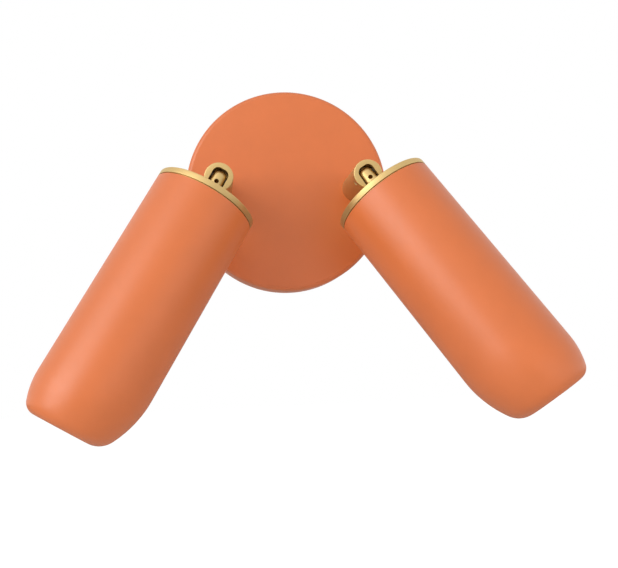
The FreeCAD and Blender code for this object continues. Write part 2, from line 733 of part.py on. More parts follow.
def shade(side):
    """Spun steel shade, open at the top for the cap and at the mouth for the light."""
    outside = shade_body(side, 0.0, SHADE_TOP)
    inside = shade_body(side, SHEET, SHADE_TOP - PAST)
    mouth = at(side * mouth_shift(), 0, -MOUTH_DROP)
    through = mouth_normal(0.0) * (SHEET + PAST)
    body = outside.cut(inside).cut(rod(OPENING_RADIUS, mouth - through, mouth + through))
    for angle in SHADE_SCREW_ANGLES:
        body = body.cut(
            radial_rod(SHADE_SCREW_RADIUS, STUD_END, HEAD_RADIUS + PAST, angle, shade_screw_drop())
        )
    return body


def shade_screws():
    """Grub screws on the wall side that hold the shade on the cap's spigot."""
    solids = []
    for angle in SHADE_SCREW_ANGLES:
        inner = SPIGOT_RADIUS - SPIGOT_WALL
        solids.append(
            radial_rod(
                SHADE_SCREW_RADIUS - SNUG_GAP, inner, HEAD_RADIUS - RUNNING_GAP, angle,
                shade_screw_drop(),
            )
        )
    return group(solids)


def cap_nut():
    """Nut on the tongue's stud, clamping the strap to the cap."""
    start = at(0, 0, -CAP_INSIDE - STRAP_SHEET)
    end = start - UP * CAP_NUT_HEIGHT
    nut = hexagon(CAP_NUT_FLATS, start, end)
    return nut.cut(rod(STUD_RADIUS + SNUG_GAP, start + UP, end - UP))


def holder_strap(side):
    """Steel strip bent into a long loop between the cap and the lampholder."""
    outside = block(
        at(-STRAP_HALF_WIDTH, -STRAP_HALF_SPAN, -CAP_INSIDE),
        at(STRAP_HALF_WIDTH, STRAP_HALF_SPAN, -HOLDER_TOP),
    )
    inside = block(
        at(-STRAP_HALF_WIDTH - PAST, -STRAP_HALF_SPAN + STRAP_SHEET, -CAP_INSIDE - STRAP_SHEET),
        at(STRAP_HALF_WIDTH + PAST, STRAP_HALF_SPAN - STRAP_SHEET, -HOLDER_TOP + STRAP_SHEET),
    )
    outside = outside.makeFillet(STRAP_BEND, lengthwise_edges(outside))
    inside = inside.makeFillet(STRAP_BEND - STRAP_SHEET, lengthwise_edges(inside))
    loop = outside.cut(inside)
    shift = side * mouth_shift()
    stud_hole = rod(STUD_RADIUS + SNUG_GAP, at(0, 0, -CAP_INSIDE + PAST), at(0, 0, -STUD_END))
    lead_hole = rod(
        LEAD_ENTRY_RADIUS,
        at(shift, 0, -HOLDER_TOP + 2 * PAST),
        at(shift, 0, -HOLDER_TOP - PAST),
    )
    loop = loop.cut(stud_hole).cut(lead_hole)
    for out in (-HOLDER_SCREW_OFFSET, HOLDER_SCREW_OFFSET):
        hole = rod(
            PIN_RADIUS,
            at(shift, out, -HOLDER_TOP + 2 * PAST),
            at(shift, out, -HOLDER_TOP - PAST),
        )
        loop = loop.cut(hole)
    return loop


def lengthwise_edges(box):
    """Edges of a box that run along the wall."""
    return [edge for edge in box.Edges if edge.BoundBox.XLength > edge.Length - EPS]


def lampholder(side):
    """Ceramic holder with two pin holes, counterbored screw holes and a lead entry."""
    shift = side * mouth_shift()
    body = rod(HOLDER_RADIUS, at(shift, 0, -HOLDER_TOP), at(shift, 0, -HOLDER_FACE))
    body = body.makeChamfer(
        POST_CHAMFER * 2, ring_edges(body, HOLDER_RADIUS, at(shift, 0, -HOLDER_FACE))
    )
    for pin_side in (-1, 1):
        place = shift + pin_side * LAMP_PIN_OFFSET
        hole = rod(
            PIN_HOLE_RADIUS,
            at(place, 0, -HOLDER_FACE + LAMP_PIN_LENGTH + PAST),
            at(place, 0, -HOLDER_FACE - PAST),
        )
        out = pin_side * HOLDER_SCREW_OFFSET
        screw_hole = rod(
            PIN_RADIUS + RUNNING_GAP,
            at(shift, out, -HOLDER_TOP + PAST),
            at(shift, out, -HOLDER_FACE - PAST),
        )
        counterbore = rod(
            COUNTERBORE_RADIUS,
            at(shift, out, -HOLDER_FACE + COUNTERBORE_DEPTH),
            at(shift, out, -HOLDER_FACE - PAST),
        )
        body = body.cut(hole).cut(screw_hole).cut(counterbore)
    return body


def holder_screws(side):
    """Screws through the lampholder into the strap."""
    shift = side * mouth_shift()
    solids = []
    for out in (-HOLDER_SCREW_OFFSET, HOLDER_SCREW_OFFSET):
        tip = at(shift, out, -HOLDER_TOP + STRAP_SHEET)
        seat = at(shift, out, -HOLDER_FACE + COUNTERBORE_DEPTH)
        solids.append(
            slotted_screw(
                PIN_RADIUS - SNUG_GAP, SMALL_HEAD_RADIUS, SMALL_HEAD_HEIGHT, tip, seat
            )
        )
    return group(solids)


def lamp_base(side):
    """Moulded base of the small capsule lamp, with a chamfer round its far end."""
    shift = side * mouth_shift()
    end = at(shift, 0, -LAMP_SHOULDER)
    body = rod(LAMP_BASE_RADIUS, at(shift, 0, -HOLDER_FACE), end)
    return body.makeChamfer(POST_CHAMFER, ring_edges(body, LAMP_BASE_RADIUS, end))


def lamp_capsule(side):
    """Glass capsule of the lamp, with a round end."""
    shift = side * mouth_shift()
    straight_end = at(shift, 0, -LAMP_SHOULDER - CAPSULE_LENGTH + CAPSULE_RADIUS)
    tube = rod(CAPSULE_RADIUS, at(shift, 0, -LAMP_SHOULDER), straight_end)
    dome = Part.makeSphere(CAPSULE_RADIUS, straight_end)
    return tube.fuse(dome).removeSplitter()


def lamp_pins(side):
    """Two contact pins on the lamp's base."""
    solids = []
    for pin_side in (-1, 1):
        base = at(side * mouth_shift() + pin_side * LAMP_PIN_OFFSET, 0, -HOLDER_FACE)
        solids.append(rod(LAMP_PIN_RADIUS, base, base + UP * LAMP_PIN_LENGTH))
    return group(solids)


def head_lead(side):
    """Lead from the tongue's hole down to the lampholder."""
    shift = side * mouth_shift()
    points = [
        at(0, 0, -HEAD_LEAD_START),
        at(0, 0, -HEAD_LEAD_UPPER),
        at(shift, 0, -HEAD_LEAD_LOWER),
        at(shift, 0, -HOLDER_TOP),
    ]
    return lead(f"head_lead {side:+d}", HEAD_LEAD_RADIUS, points)


# ---- the whole light ---------------------------------------------------------------------

def plate_parts():
    """Sub-parts that stay on the wall."""
    return {
        "cover": cover(),
        "wall_bracket": wall_bracket(),
        "cover_screws": cover_screws(),
        "terminal_block": terminal_block(),
        "terminal_tubes": terminal_tubes(),
        "terminal_screws": terminal_screws(),
        "terminal_fixing_screw": terminal_fixing_screw(),
        "earth_tag": earth_tag(),
        "earth_screw": earth_screw(),
        "earth_lead": earth_lead(),
        "left_feed_lead": feed_lead(-1),
        "right_feed_lead": feed_lead(1),
    }


def post_parts():
    """Sub-parts that swivel, drawn for a post on the wall's centre."""
    return {
        "post": post(),
        "swivel_washer": swivel_washer(),
        "stop_washer": stop_washer(),
        "swivel_nut": swivel_nut(),
        "pivot_pin": pivot_pin(),
        "pivot_washers": pivot_washers(),
    }


def head_parts(side):
    """Sub-parts that tilt, drawn hanging straight down from the pivot."""
    return {
        "tongue": tongue(),
        "cap": cap(),
        "cap_nut": cap_nut(),
        "shade": shade(side),
        "shade_screws": shade_screws(),
        "holder_strap": holder_strap(side),
        "lampholder": lampholder(side),
        "holder_screws": holder_screws(side),
        "lamp_base": lamp_base(side),
        "lamp_capsule": lamp_capsule(side),
        "lamp_pins": lamp_pins(side),
        "head_lead": head_lead(side),
    }


def all_parts():
    """Every sub-part of the light in its rest pose, by name."""
    parts = plate_parts()
    for side_name, side in SIDES.items():
        for name, shape in post_parts().items():
            parts[f"{side_name}_{name}"] = pose_post(shape, side)
        for name, shape in head_parts(side).items():
            parts[f"{side_name}_{name}"] = pose_head(shape, side)
    return parts


def main():
    os.makedirs("parts", exist_ok=True)
    for name, shape in all_parts().items():
        if not shape.isValid():
            raise RuntimeError(f"{name} is not a valid shape")
        shape.exportStep(f"parts/{name}.step")


main()
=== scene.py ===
import json
import math

import bmesh
import bpy
import numpy as np
from mathutils import Matrix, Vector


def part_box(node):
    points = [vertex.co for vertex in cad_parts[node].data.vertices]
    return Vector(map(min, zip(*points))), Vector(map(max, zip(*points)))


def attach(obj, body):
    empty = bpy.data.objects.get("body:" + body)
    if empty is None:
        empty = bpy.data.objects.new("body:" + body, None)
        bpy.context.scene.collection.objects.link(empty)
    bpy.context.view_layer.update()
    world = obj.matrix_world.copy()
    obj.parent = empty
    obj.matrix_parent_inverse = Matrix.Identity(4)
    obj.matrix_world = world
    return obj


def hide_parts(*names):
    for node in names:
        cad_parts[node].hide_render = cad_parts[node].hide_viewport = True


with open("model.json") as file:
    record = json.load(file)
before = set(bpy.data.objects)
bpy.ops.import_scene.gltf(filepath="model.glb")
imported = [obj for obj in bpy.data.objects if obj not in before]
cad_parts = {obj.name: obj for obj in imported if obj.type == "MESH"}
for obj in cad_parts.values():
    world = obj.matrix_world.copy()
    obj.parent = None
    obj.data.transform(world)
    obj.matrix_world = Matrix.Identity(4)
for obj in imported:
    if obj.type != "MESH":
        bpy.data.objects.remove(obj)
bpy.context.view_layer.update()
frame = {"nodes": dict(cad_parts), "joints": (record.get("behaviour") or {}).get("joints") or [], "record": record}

bl_info = {
    "name": "Pivoting Spotlight Wall Light",
    "version": (1, 0, 0),
    "blender": (4, 5, 0),
    "location": "View3D > Sidebar > Wall Light",
    "description": "Finished surfaces, materials and stage for a two-headed spotlight wall light",
    "category": "Object",
}

MM = 0.001
FULL_TURN = 2 * math.pi
HALF_TURN = math.pi
MERGE_DISTANCE = 1e-6       # metres; corners closer than this are one corner
SMALLEST_FACE = 1e-13       # square metres; a face below this has no area
SMOOTH_ANGLE = math.radians(32)
PLATE_BODY = "plate"
SIDES = {"left": -1.0, "right": 1.0}

JOINTS = {joint["name"]: joint for joint in frame["joints"]}
COVER_LOW, COVER_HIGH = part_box("cover")

# ---- fineness, in grid lines -----------------------------------------------------------------

HOLE_LINES = 7              # across a hole, its two edges included
EDGE_LINES = 5              # round an edge, where it has no number of its own
CAP_EDGE_LINES = 7
COVER_EDGE_LINES = 9
SLOT_CORNER_LINES = 9
DOME_LINES = 17             # up the round end of a tongue or a capsule
BAR_LINES = 6               # along a post's round bar
TUBE_LINES, NECK_LINES, LIP_LINES = 6, 30, 16       # down a shade
LARGE_TURN = 192            # round the cover, a cap or a shade
TONGUE_TURN = 72
CAPSULE_TURN = 64
LAMP_BASE_TURN = 48
STUD_TURN = 32
BELOW_PIN_LINES, ABOVE_PIN_LINES = 13, 4            # on a leg of a fork
OPEN_SIDE_LINES = 33        # round a post under its slot's open side
COLUMN_GAP = 1.15           # hole radii from a hole's middle that even columns keep clear
TONGUE_COLUMN_GAP = 1.2

# ---- fixed sizes, in metres ------------------------------------------------------------------

SMALL_EDGE = 0.3 * MM       # rounding of the cover's rear rim and of the studs' ends
COVER_SCREW = {"height": 10.0 * MM, "radius": 2.05 * MM, "depth": 1.1 * MM}
STOP_STUD = {"place": 30.5 * MM, "radius": 1.5 * MM, "length": 3.0 * MM}

FORK_CHAMFER = 0.5 * MM
SLOT_TOP = 5.0 * MM         # from the pivot up to the slot's closed end
SLOT_ROUNDING = 3.4 * MM
SLOT_DEPTH = 4.4 * MM       # from the pivot back to the slot's floor
TAIL_RADIUS = 5.0 * MM
WIREWAY_RADIUS = 2.25 * MM
PIN_END = {"radius": 1.52 * MM, "depth": 2.0 * MM}

CAP_TOP = -13.7 * MM        # heights of a head's pieces count from its pivot
TONGUE_FULLNESS = 2.6       # exponent of the tongue's outline; 2 would be an ellipse
TONGUE_DOME = 4.1 * MM      # height of the tongue's round end above the pivot
TONGUE_HOLE = {"height": -3.4 * MM, "radius": 1.3 * MM}
FOOT_RADIUS = 4.5 * MM
FOOT_HEIGHT = 1.2 * MM
FOOT_EDGE = 0.25 * MM
STUD_RADIUS = 2.9 * MM
STUD_END = -23.0 * MM

CAP_BORE = 2.92 * MM
CAP_ROUNDING = 0.6 * MM
GROOVE_RADIUS = 27.6 * MM
SPIGOT_LENGTH = 8.5 * MM
SPIGOT_WALL = 1.5 * MM
SPIGOT_GAP = 0.05 * MM      # between the spigot and the shade
SPIGOT_EDGE = 0.2 * MM

MOUTH_DROP = 157.0 * MM     # from the pivot down to the mouth's middle
NECK_RISE = 39.5 * MM       # height of the narrowed end's start above the mouth
MOUTH_LEAN = math.radians(4.0)
MOUTH_ROUNDING = 0.35 * MM
INNER_SIDE = {"arc": 58.0 * MM, "run": 33.5 * MM, "lip": 12.0 * MM}
OUTER_SIDE = {"arc": 43.0 * MM, "run": 20.3 * MM, "lip": 7.0 * MM}
SHADE_SCREW = {"drop": 4.25 * MM, "radius": 1.5 * MM, "depth": 1.1 * MM}    # from the top
SHADE_SCREW_ANGLES = (math.radians(35.0), math.radians(145.0))

BASE_PROFILE = [            # (radius, height, rounding) of the lamp's base
    (0.0, -100.0 * MM, 0.0),
    (8.0 * MM, -100.0 * MM, 0.4 * MM),
    (8.0 * MM, -104.0 * MM, 0.2 * MM),
    (7.6 * MM, -104.4 * MM, 0.2 * MM),
    (7.6 * MM, -115.2 * MM, 0.4 * MM),
    (7.0 * MM, -116.0 * MM, 0.2 * MM),
    (0.0, -116.0 * MM, 0.0),
]
CAPSULE = {"radius": 7.2 * MM, "foot": -116.0 * MM, "dome": -140.8 * MM, "rounding": 0.5 * MM}

# ---- stage: metres, lamps' angles in degrees, the camera's turns in radians ---------------------

STAGE_MIDDLE = (0.0, -0.05, -0.05)
LAMP_DISTANCE = 1.5
LAMP_SIZE = 1.2
KEY_LAMP = {"around": -50.0, "above": 18.0}
TOP_LAMP = {"around": -15.0, "above": 48.0}
SIDE_LAMP = {"around": 80.0, "above": -12.0}
LOW_LAMP = {"around": 30.0, "above": -13.0}
FLOOR_REACH, FLOOR_LINES = 6.0, 9
FLOOR_GLOW = 0.8            # lifts the floor to white for the camera only
CAMERA_PLACE = (-0.04731, -0.5805, -0.0970)
CAMERA_PAN, CAMERA_TILT, CAMERA_ROLL = -0.1033, 0.0720, 0.0414
CAMERA_NEAR = 0.02
SENSOR_WIDTH = 36.0         # millimetres
FOCAL_SHARE = 950.0 / 618.0     # focal length over the picture's width


# ---- sizes and colours a user can change ---------------------------------------------------

def length(name, description, default):
    """Length property in metres from a default in millimetres."""
    return bpy.props.FloatProperty(
        name=name, description=description, default=default * MM, unit="LENGTH", min=0.0,
        precision=5,
    )


def colour(name, description, default):
    """Colour property from a display colour given as three parts of 255."""
    linear = [((part / 255 + 0.055) / 1.055) ** 2.4 for part in default]
    return bpy.props.FloatVectorProperty(
        name=name, description=description, default=linear, subtype="COLOR", size=3,
        min=0.0, max=1.0,
    )


def power(name, description, default):
    """Power property of a lamp, in watts."""
    return bpy.props.FloatProperty(
        name=name, description=description, default=default, unit="POWER", min=0.0,
    )


class WallLightSizes(bpy.types.PropertyGroup):
    """Sizes of the finished surfaces."""

    plate_rounding: length("Plate rounding", "Radius of the soft edge round the plate", 2.8)
    sheet: length("Sheet", "Thickness of the cover and the shades", 1.2)
    post_radius: length("Post radius", "Radius of each post", 8.0)
    slot_width: length("Slot width", "Width of the slot in the post's end", 9.2)
    tongue_width: length("Tongue width", "Width of the tongue along its pin", 7.9)
    tongue_depth: length("Tongue depth", "Depth of the tongue across its pin", 7.8)
    head_radius: length("Head radius", "Radius of the cap and of the shade", 28.5)
    ring_height: length("Ring height", "Height of the brass ring that shows", 3.4)
    groove_height: length("Groove height", "Height of the groove under the ring", 0.6)
    opening_radius: length("Opening radius", "Radius of the hole in the mouth", 14.2)


class WallLightColours(bpy.types.PropertyGroup):
    """Colours of the finishes."""

    paint: colour("Paint", "Terracotta powder coat", (225, 117, 56))
    brass: colour("Brass", "Satin brass", (210, 180, 122))
    steel: colour("Steel", "Zinc-plated steel", (190, 192, 194))
    plastic: colour("Plastic", "Terminal block", (232, 229, 220))
    ceramic: colour("Ceramic", "Lampholder", (228, 223, 210))
    shell: colour("Lamp shell", "Glazed lamp body", (238, 237, 233))
    nickel: colour("Nickel", "Contact pins and reflector", (214, 211, 205))
    # dark colour of the thin washers: painted shade for the narrow gap beside the tongue
    washer_shade: colour("Nylon", "Thin washers beside the tongue", (58, 46, 34))
    sheath: colour("Lead", "Sheath of the leads", (226, 224, 216))
    earth: colour("Earth lead", "Green of the earth lead", (70, 140, 50))
    earth_stripe: colour("Earth stripe", "Yellow of the earth lead", (232, 205, 40))
    capsule: colour("Capsule", "Frosted glass of the lamp", (243, 243, 239))
    floor: colour("Floor", "Floor under the light", (240, 239, 236))


class WallLightStage(bpy.types.PropertyGroup):
    """Lamps, floor and surroundings."""

    floor_drop: length("Floor drop", "Floor's distance below the plate's centre", 460.0)
    key_power: power("Key power", "Large lamp at the left", 13.0)
    top_power: power("Top power", "Large lamp above", 1.5)
    side_power: power("Side power", "Large lamp at the far right", 5.0)
    low_power: power("Low power", "Large lamp low at the front right", 8.5)
    surround_level: bpy.props.FloatProperty(
        name="Surround level", description="Brightness of the even surroundings",
        default=0.33, min=0.0, subtype="FACTOR",
    )


# ---- surfaces --------------------------------------------------------------------------------

def rounded_profile(corners, steps=EDGE_LINES):
    """Profile through corners given as (radius, height, rounding), each corner an arc.

    The arc at a corner is tangent to both of its sides. Its centre lies on the line that
    halves the corner, at rounding / sin(half angle), and its points turn evenly from the
    first tangent point to the second. All corners are worked out together.
    """
    corners = np.array(corners, float)
    place, rounding = corners[:, :2], corners[:, 2]
    back = np.roll(place, 1, axis=0) - place
    ahead = np.roll(place, -1, axis=0) - place
    back /= np.linalg.norm(back, axis=1, keepdims=True)
    ahead /= np.linalg.norm(ahead, axis=1, keepdims=True)
    cosine = np.clip((back * ahead).sum(axis=1), -1, 1)
    half = np.arccos(cosine) / 2
    middle = back + ahead
    span = np.linalg.norm(middle, axis=1, keepdims=True)
    middle = np.divide(middle, span, where=span > 1e-9, out=np.zeros_like(middle))
    centre = place + middle * (rounding / np.maximum(np.sin(half), 1e-9))[:, None]
    spread = HALF_TURN / 2 - half
    share = np.linspace(-1, 1, steps)[None, :]
    side = np.sign(back[:, 0] * ahead[:, 1] - back[:, 1] * ahead[:, 0])
    turn = -side[:, None] * share * spread[:, None]
    toward = -middle
    arc_x = toward[:, None, 0] * np.cos(turn) - toward[:, None, 1] * np.sin(turn)
    arc_y = toward[:, None, 0] * np.sin(turn) + toward[:, None, 1] * np.cos(turn)
    arc = centre[:, None, :] + rounding[:, None, None] * np.stack([arc_x, arc_y], axis=2)
    return arc.reshape(-1, 2)


def hole_rim(hole):
    """Rim of a round hole as (sideways, upwards) offsets from its centre.

    The points lie where the lines to even steps round a square cross the circle, which is
    where round_hole_in moves the grid's own crossings.
    """
    step = np.linspace(-1, 1, HOLE_LINES)[:-1]
    one = np.ones_like(step)
    square = np.concatenate(
        [
            np.stack([step, -one], axis=1), np.stack([one, step], axis=1),
            np.stack([-step, one], axis=1), np.stack([-one, -step], axis=1),
        ]
    )
    return hole["radius"] * square / np.linalg.norm(square, axis=1, keepdims=True)


def round_hole_in(angle, height, radius, hole):
    """Opens a round hole in the part of a turned grid that lies at the hole's wall radius.

    A crossing of grid lines is placed by its offset sideways, wall radius * sin(angle from
    the hole), and its offset upwards. Crossings on the square round the hole move along
    their own direction onto the circle, and those inside it are marked as left out.
    """
    sideways = hole["wall"] * np.sin(angle - hole["angle"])
    upwards = height - hole["height"]
    reach = np.maximum(abs(sideways), abs(upwards))
    near = (np.cos(angle - hole["angle"]) > 0) & (abs(radius - hole["wall"]) < MERGE_DISTANCE)
    border = near & (abs(reach - hole["radius"]) < MERGE_DISTANCE)
    pull = hole["radius"] / np.maximum(np.hypot(sideways, upwards), MERGE_DISTANCE)
    moved = hole["angle"] + np.arcsin(np.clip(sideways * pull / hole["wall"], -1, 1))
    angle = np.where(border, moved, angle)
    height = np.where(border, hole["height"] + upwards * pull, height)
    return angle, height, near & (reach < hole["radius"] - MERGE_DISTANCE)


def even_angles(count):
    """Angles that share a full turn evenly."""
    return np.arange(count) * FULL_TURN / count


def columns_for(holes, count):
    """Angles of a turned grid: even ones, and closer ones across each hole."""
    even = even_angles(count)
    blocks = []
    for hole in holes:
        across = np.linspace(-hole["radius"], hole["radius"], HOLE_LINES)
        blocks.append(hole["angle"] + np.arcsin(across / hole["wall"]))
        same_side = np.cos(even - hole["angle"]) > 0
        clear = abs(np.sin(even - hole["angle"])) * hole["wall"] > hole["radius"] * COLUMN_GAP
        even = even[clear | ~same_side]
    return np.unique(np.round(np.concatenate([even, *blocks]) % FULL_TURN, 12))


def pocket(hole):
    """Blind round hole: its rim on the wall, the same rim at its depth, and its centre."""
    sideways, upwards = hole_rim(hole).T
    floor = np.full_like(sideways, hole["wall"] - hole["depth"])
    rows = np.stack([np.sqrt(hole["wall"] ** 2 - sideways ** 2), floor, floor])
    width = np.array([[1.0], [1.0], [0.0]])
    cosine, sine = math.cos(hole["angle"]), math.sin(hole["angle"])
    return np.stack(
        [
            rows * cosine - sideways * width * sine,
            rows * sine + sideways * width * cosine,
            hole["height"] + upwards * width,
        ],
        axis=2,
    )


def turned(profile, angles, holes=()):
    """Surface turned about the local Z axis, from a profile of (radius, height) rows.

    A point at row i and angle a is (radius_i cos a, radius_i sin a, height_i).
    """
    angle, radius = np.meshgrid(angles, profile[:, 0])
    height = np.repeat(profile[:, 1:2], len(angles), axis=1)
    left_out = np.zeros(angle.shape, bool)
    for hole in holes:
        angle, height, inside = round_hole_in(angle, height, radius, hole)
        left_out |= inside
    points = np.stack([radius * np.cos(angle), radius * np.sin(angle), height], axis=2)
    points[left_out] = np.nan
    return points


def grid_cells(points, closed_rows):
    """Corner numbers and pattern coordinates of the cells of a grid of points.

    Columns always close round. Rows close too when asked. The pattern's first coordinate is
    the length round the surface and its second the length along the profile, in metres.
    """
    rows, columns = points.shape[:2]
    numbers = np.arange(rows * columns).reshape(rows, columns)
    across = np.concatenate([numbers, numbers[:, :1]], axis=1)
    if closed_rows:
        across = np.concatenate([across, across[:1]], axis=0)
    wrapped = points.reshape(-1, 3)[across]
    down = np.nanmean(np.linalg.norm(np.diff(wrapped, axis=0), axis=2), axis=1)
    round_it = np.nanmax(np.linalg.norm(np.diff(wrapped, axis=1), axis=2), axis=0)
    u, v = np.meshgrid(
        np.concatenate([[0], np.cumsum(round_it)]), np.concatenate([[0], np.cumsum(down)])
    )

    def corners_of(grid):
        """Four corners of every cell of a grid, in order round it."""
        return np.stack([grid[:-1, :-1], grid[:-1, 1:], grid[1:, 1:], grid[1:, :-1]], axis=2)

    cells = corners_of(across).reshape(-1, 4)
    corners = corners_of(np.stack([u, v], axis=2)).reshape(-1, 4, 2)
    return cells, corners


def surface_object(name, grids, matrix, body, slot, replaced, finish=None):
    """Closed mesh from grids of points, smoothed, placed by a matrix and set on its body.

    Each grid is (points, closed_rows). Cells with no area or with a left-out corner are
    dropped, corners that meet are merged, and the faces are turned outwards. The finish is
    the slot's own where none is named.
    """
    points_all, cells_all, corners_all = [], [], []
    start = 0
    for points, closed_rows in grids:
        cells, corners = grid_cells(points, closed_rows)
        flat = points.reshape(-1, 3)
        diagonal = flat[cells[:, 2]] - flat[cells[:, 0]]
        other = flat[cells[:, 3]] - flat[cells[:, 1]]
        kept = np.linalg.norm(np.cross(diagonal, other), axis=1) / 2 > SMALLEST_FACE
        points_all.append(flat)
        cells_all.append(cells[kept] + start)
        corners_all.append(corners[kept])
        start += len(flat)
    used, cells = np.unique(np.concatenate(cells_all), return_inverse=True)
    flat = np.concatenate(points_all)[used]
    rotation, shift = np.array(matrix)[:3, :3], np.array(matrix)[:3, 3]
    flat = flat @ rotation.T + shift
    mesh = bpy.data.meshes.new(name)
    mesh.from_pydata(flat.tolist(), [], cells.reshape(-1, 4).tolist())
    layer = mesh.uv_layers.new(name="turning")
    layer.data.foreach_set("uv", np.concatenate(corners_all).reshape(-1).astype(np.float32))
    merge_and_face_outwards(mesh)
    piece = bpy.data.objects.new(name, mesh)
    bpy.context.scene.collection.objects.link(piece)
    mesh.materials.append(finishes()[finish or slot])
    mesh.shade_smooth()
    mesh.set_sharp_from_angle(angle=SMOOTH_ANGLE)
    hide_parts(*replaced)
    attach(piece, body)


def merge_and_face_outwards(mesh):
    """Merges corners that meet and turns every face outwards."""
    work = bmesh.new()
    work.from_mesh(mesh)
    bmesh.ops.remove_doubles(work, verts=work.verts, dist=MERGE_DISTANCE)
    bmesh.ops.dissolve_degenerate(work, edges=work.edges, dist=MERGE_DISTANCE)
    bmesh.ops.recalc_face_normals(work, faces=work.faces)
    work.to_mesh(mesh)
    work.free()


# ---- places ----------------------------------------------------------------------------------

def post_matrix(side_name):
    """Place of a post: Z out along the post from the wall, X along the pivot pin."""
    tilt = JOINTS[f"{side_name}_tilt"]
    pin = -np.array(tilt["axis"])
    out = np.array([0.0, -1.0, 0.0])
    matrix = Matrix.Identity(4)
    columns = (pin, np.cross(out, pin), out)
    for number, column in enumerate(columns):
        matrix.col[number][:3] = column
    matrix.col[3][:3] = (tilt["pos_m"][0], 0.0, tilt["pos_m"][2])
    return matrix


def head_matrix(side_name):
    """Place of a head: origin at the pivot, X along the pin, Z up along the head's axis."""
    tilt = JOINTS[f"{side_name}_tilt"]
    pin = -np.array(tilt["axis"])
    lean = -math.radians(tilt["range_deg"][0])
    up_level = np.array([-pin[2], 0.0, pin[0]])
    up = up_level * math.cos(lean) + np.array([0.0, 1.0, 0.0]) * math.sin(lean)
    matrix = Matrix.Identity(4)
    for number, column in enumerate((pin, np.cross(up, pin), up)):
        matrix.col[number][:3] = column
    matrix.col[3][:3] = tilt["pos_m"]
    return matrix


# ---- materials -------------------------------------------------------------------------------

class Finish:
    """Node material built from a base colour, its spread, and fine and coarse noise."""

    def __init__(self, name, base, roughness, metallic=0.0):
        self.material = bpy.data.materials.new(name)
        self.material.use_nodes = True
        self.tree = self.material.node_tree
        self.shader = self.tree.nodes["Principled BSDF"]
        self.base = tuple(base)
        self.shader.inputs["Base Color"].default_value = (*self.base, 1.0)
        self.shader.inputs["Roughness"].default_value = roughness
        self.shader.inputs["Metallic"].default_value = metallic
        self.material.diffuse_color = (*self.base, 1.0)
        self.last_normal = None

    def node(self, kind, **settings):
        """New node of a kind, with its settings."""
        made = self.tree.nodes.new(kind)
        for key, value in settings.items():
            setattr(made, key, value)
        return made

    def link(self, source, target):
        """Link from an output to an input."""
        self.tree.links.new(source, target)

    def coordinate(self, scale, on_surface=False):
        """Coordinates times a scale: the object's own, or lengths round and along it."""
        if on_surface:
            source = self.node("ShaderNodeUVMap", uv_map="turning").outputs["UV"]
        else:
            source = self.node("ShaderNodeTexCoord").outputs["Object"]
        mapping = self.node("ShaderNodeMapping")
        mapping.inputs["Scale"].default_value = np.broadcast_to(scale, 3)
        self.link(source, mapping.inputs["Vector"])
        return mapping.outputs["Vector"]

    def noise(self, scale, detail=2.0, rough=0.5, on_surface=False):
        """Soft noise with a number of cycles per metre, one for all directions or three."""
        texture = self.node("ShaderNodeTexNoise")
        texture.inputs["Scale"].default_value = 1.0
        texture.inputs["Detail"].default_value = detail
        texture.inputs["Roughness"].default_value = rough
        self.link(self.coordinate(scale, on_surface), texture.inputs["Vector"])
        return texture.outputs["Fac"]

    def spread_colour(self, darker, lighter, factor):
        """Base colour that wanders between two multiples of itself."""
        mix = self.node("ShaderNodeMix", data_type="RGBA")
        mix.inputs["A"].default_value = (*[min(1.0, c * darker) for c in self.base], 1.0)
        mix.inputs["B"].default_value = (*[min(1.0, c * lighter) for c in self.base], 1.0)
        self.link(factor, mix.inputs["Factor"])
        self.link(mix.outputs["Result"], self.shader.inputs["Base Color"])

    def spread_roughness(self, low, high, factor):
        """Roughness that wanders between two values, over the middle half of the factor."""
        span = self.node("ShaderNodeMapRange")
        span.inputs["From Min"].default_value = 0.25
        span.inputs["From Max"].default_value = 0.75
        span.inputs["To Min"].default_value = low
        span.inputs["To Max"].default_value = high
        self.link(factor, span.inputs["Value"])
        self.link(span.outputs["Result"], self.shader.inputs["Roughness"])

    def bump(self, height, distance):
        """Relief of a depth in metres, on top of any relief made before it."""
        bump = self.node("ShaderNodeBump")
        bump.inputs["Distance"].default_value = distance
        self.link(height, bump.inputs["Height"])
        if self.last_normal:
            self.link(self.last_normal, bump.inputs["Normal"])
        self.last_normal = bump.outputs["Normal"]
        self.link(self.last_normal, self.shader.inputs["Normal"])


def paint_finish(base):
    """Satin powder coat: slight orange peel, a fine grain and soft changes of tone."""
    finish = Finish("terracotta powder coat", base, 0.4)
    finish.shader.inputs["Specular IOR Level"].default_value = 0.8
    finish.spread_colour(0.93, 1.06, finish.noise(42.0, detail=4.0, rough=0.6))
    finish.spread_roughness(0.38, 0.46, finish.noise(420.0, detail=3.0))
    finish.bump(finish.noise(650.0, detail=1.0), 12e-6)
    finish.bump(finish.noise(3800.0), 2.5e-6)
    return finish.material


def turned_brass_finish(base):
    """Satin brass off a lathe: fine lines round the piece, under a soft change of tone."""
    finish = Finish("satin turned brass", base, 0.46, metallic=1.0)
    finish.spread_colour(0.94, 1.04, finish.noise(110.0, detail=3.0))
    lines = finish.noise((60.0, 9000.0, 1.0), detail=3.0, rough=0.65, on_surface=True)
    finish.spread_roughness(0.4, 0.54, lines)
    finish.bump(lines, 2.6e-6)
    finish.bump(finish.noise(900.0), 4e-6)
    return finish.material


def plain_brass_finish(base):
    """Drawn brass of the small fittings: a fine even grain."""
    finish = Finish("drawn brass", base, 0.33, metallic=1.0)
    finish.spread_colour(0.9, 1.04, finish.noise(260.0, detail=3.0))
    finish.spread_roughness(0.26, 0.42, finish.noise(2600.0))
    finish.bump(finish.noise(4200.0), 2e-6)
    return finish.material


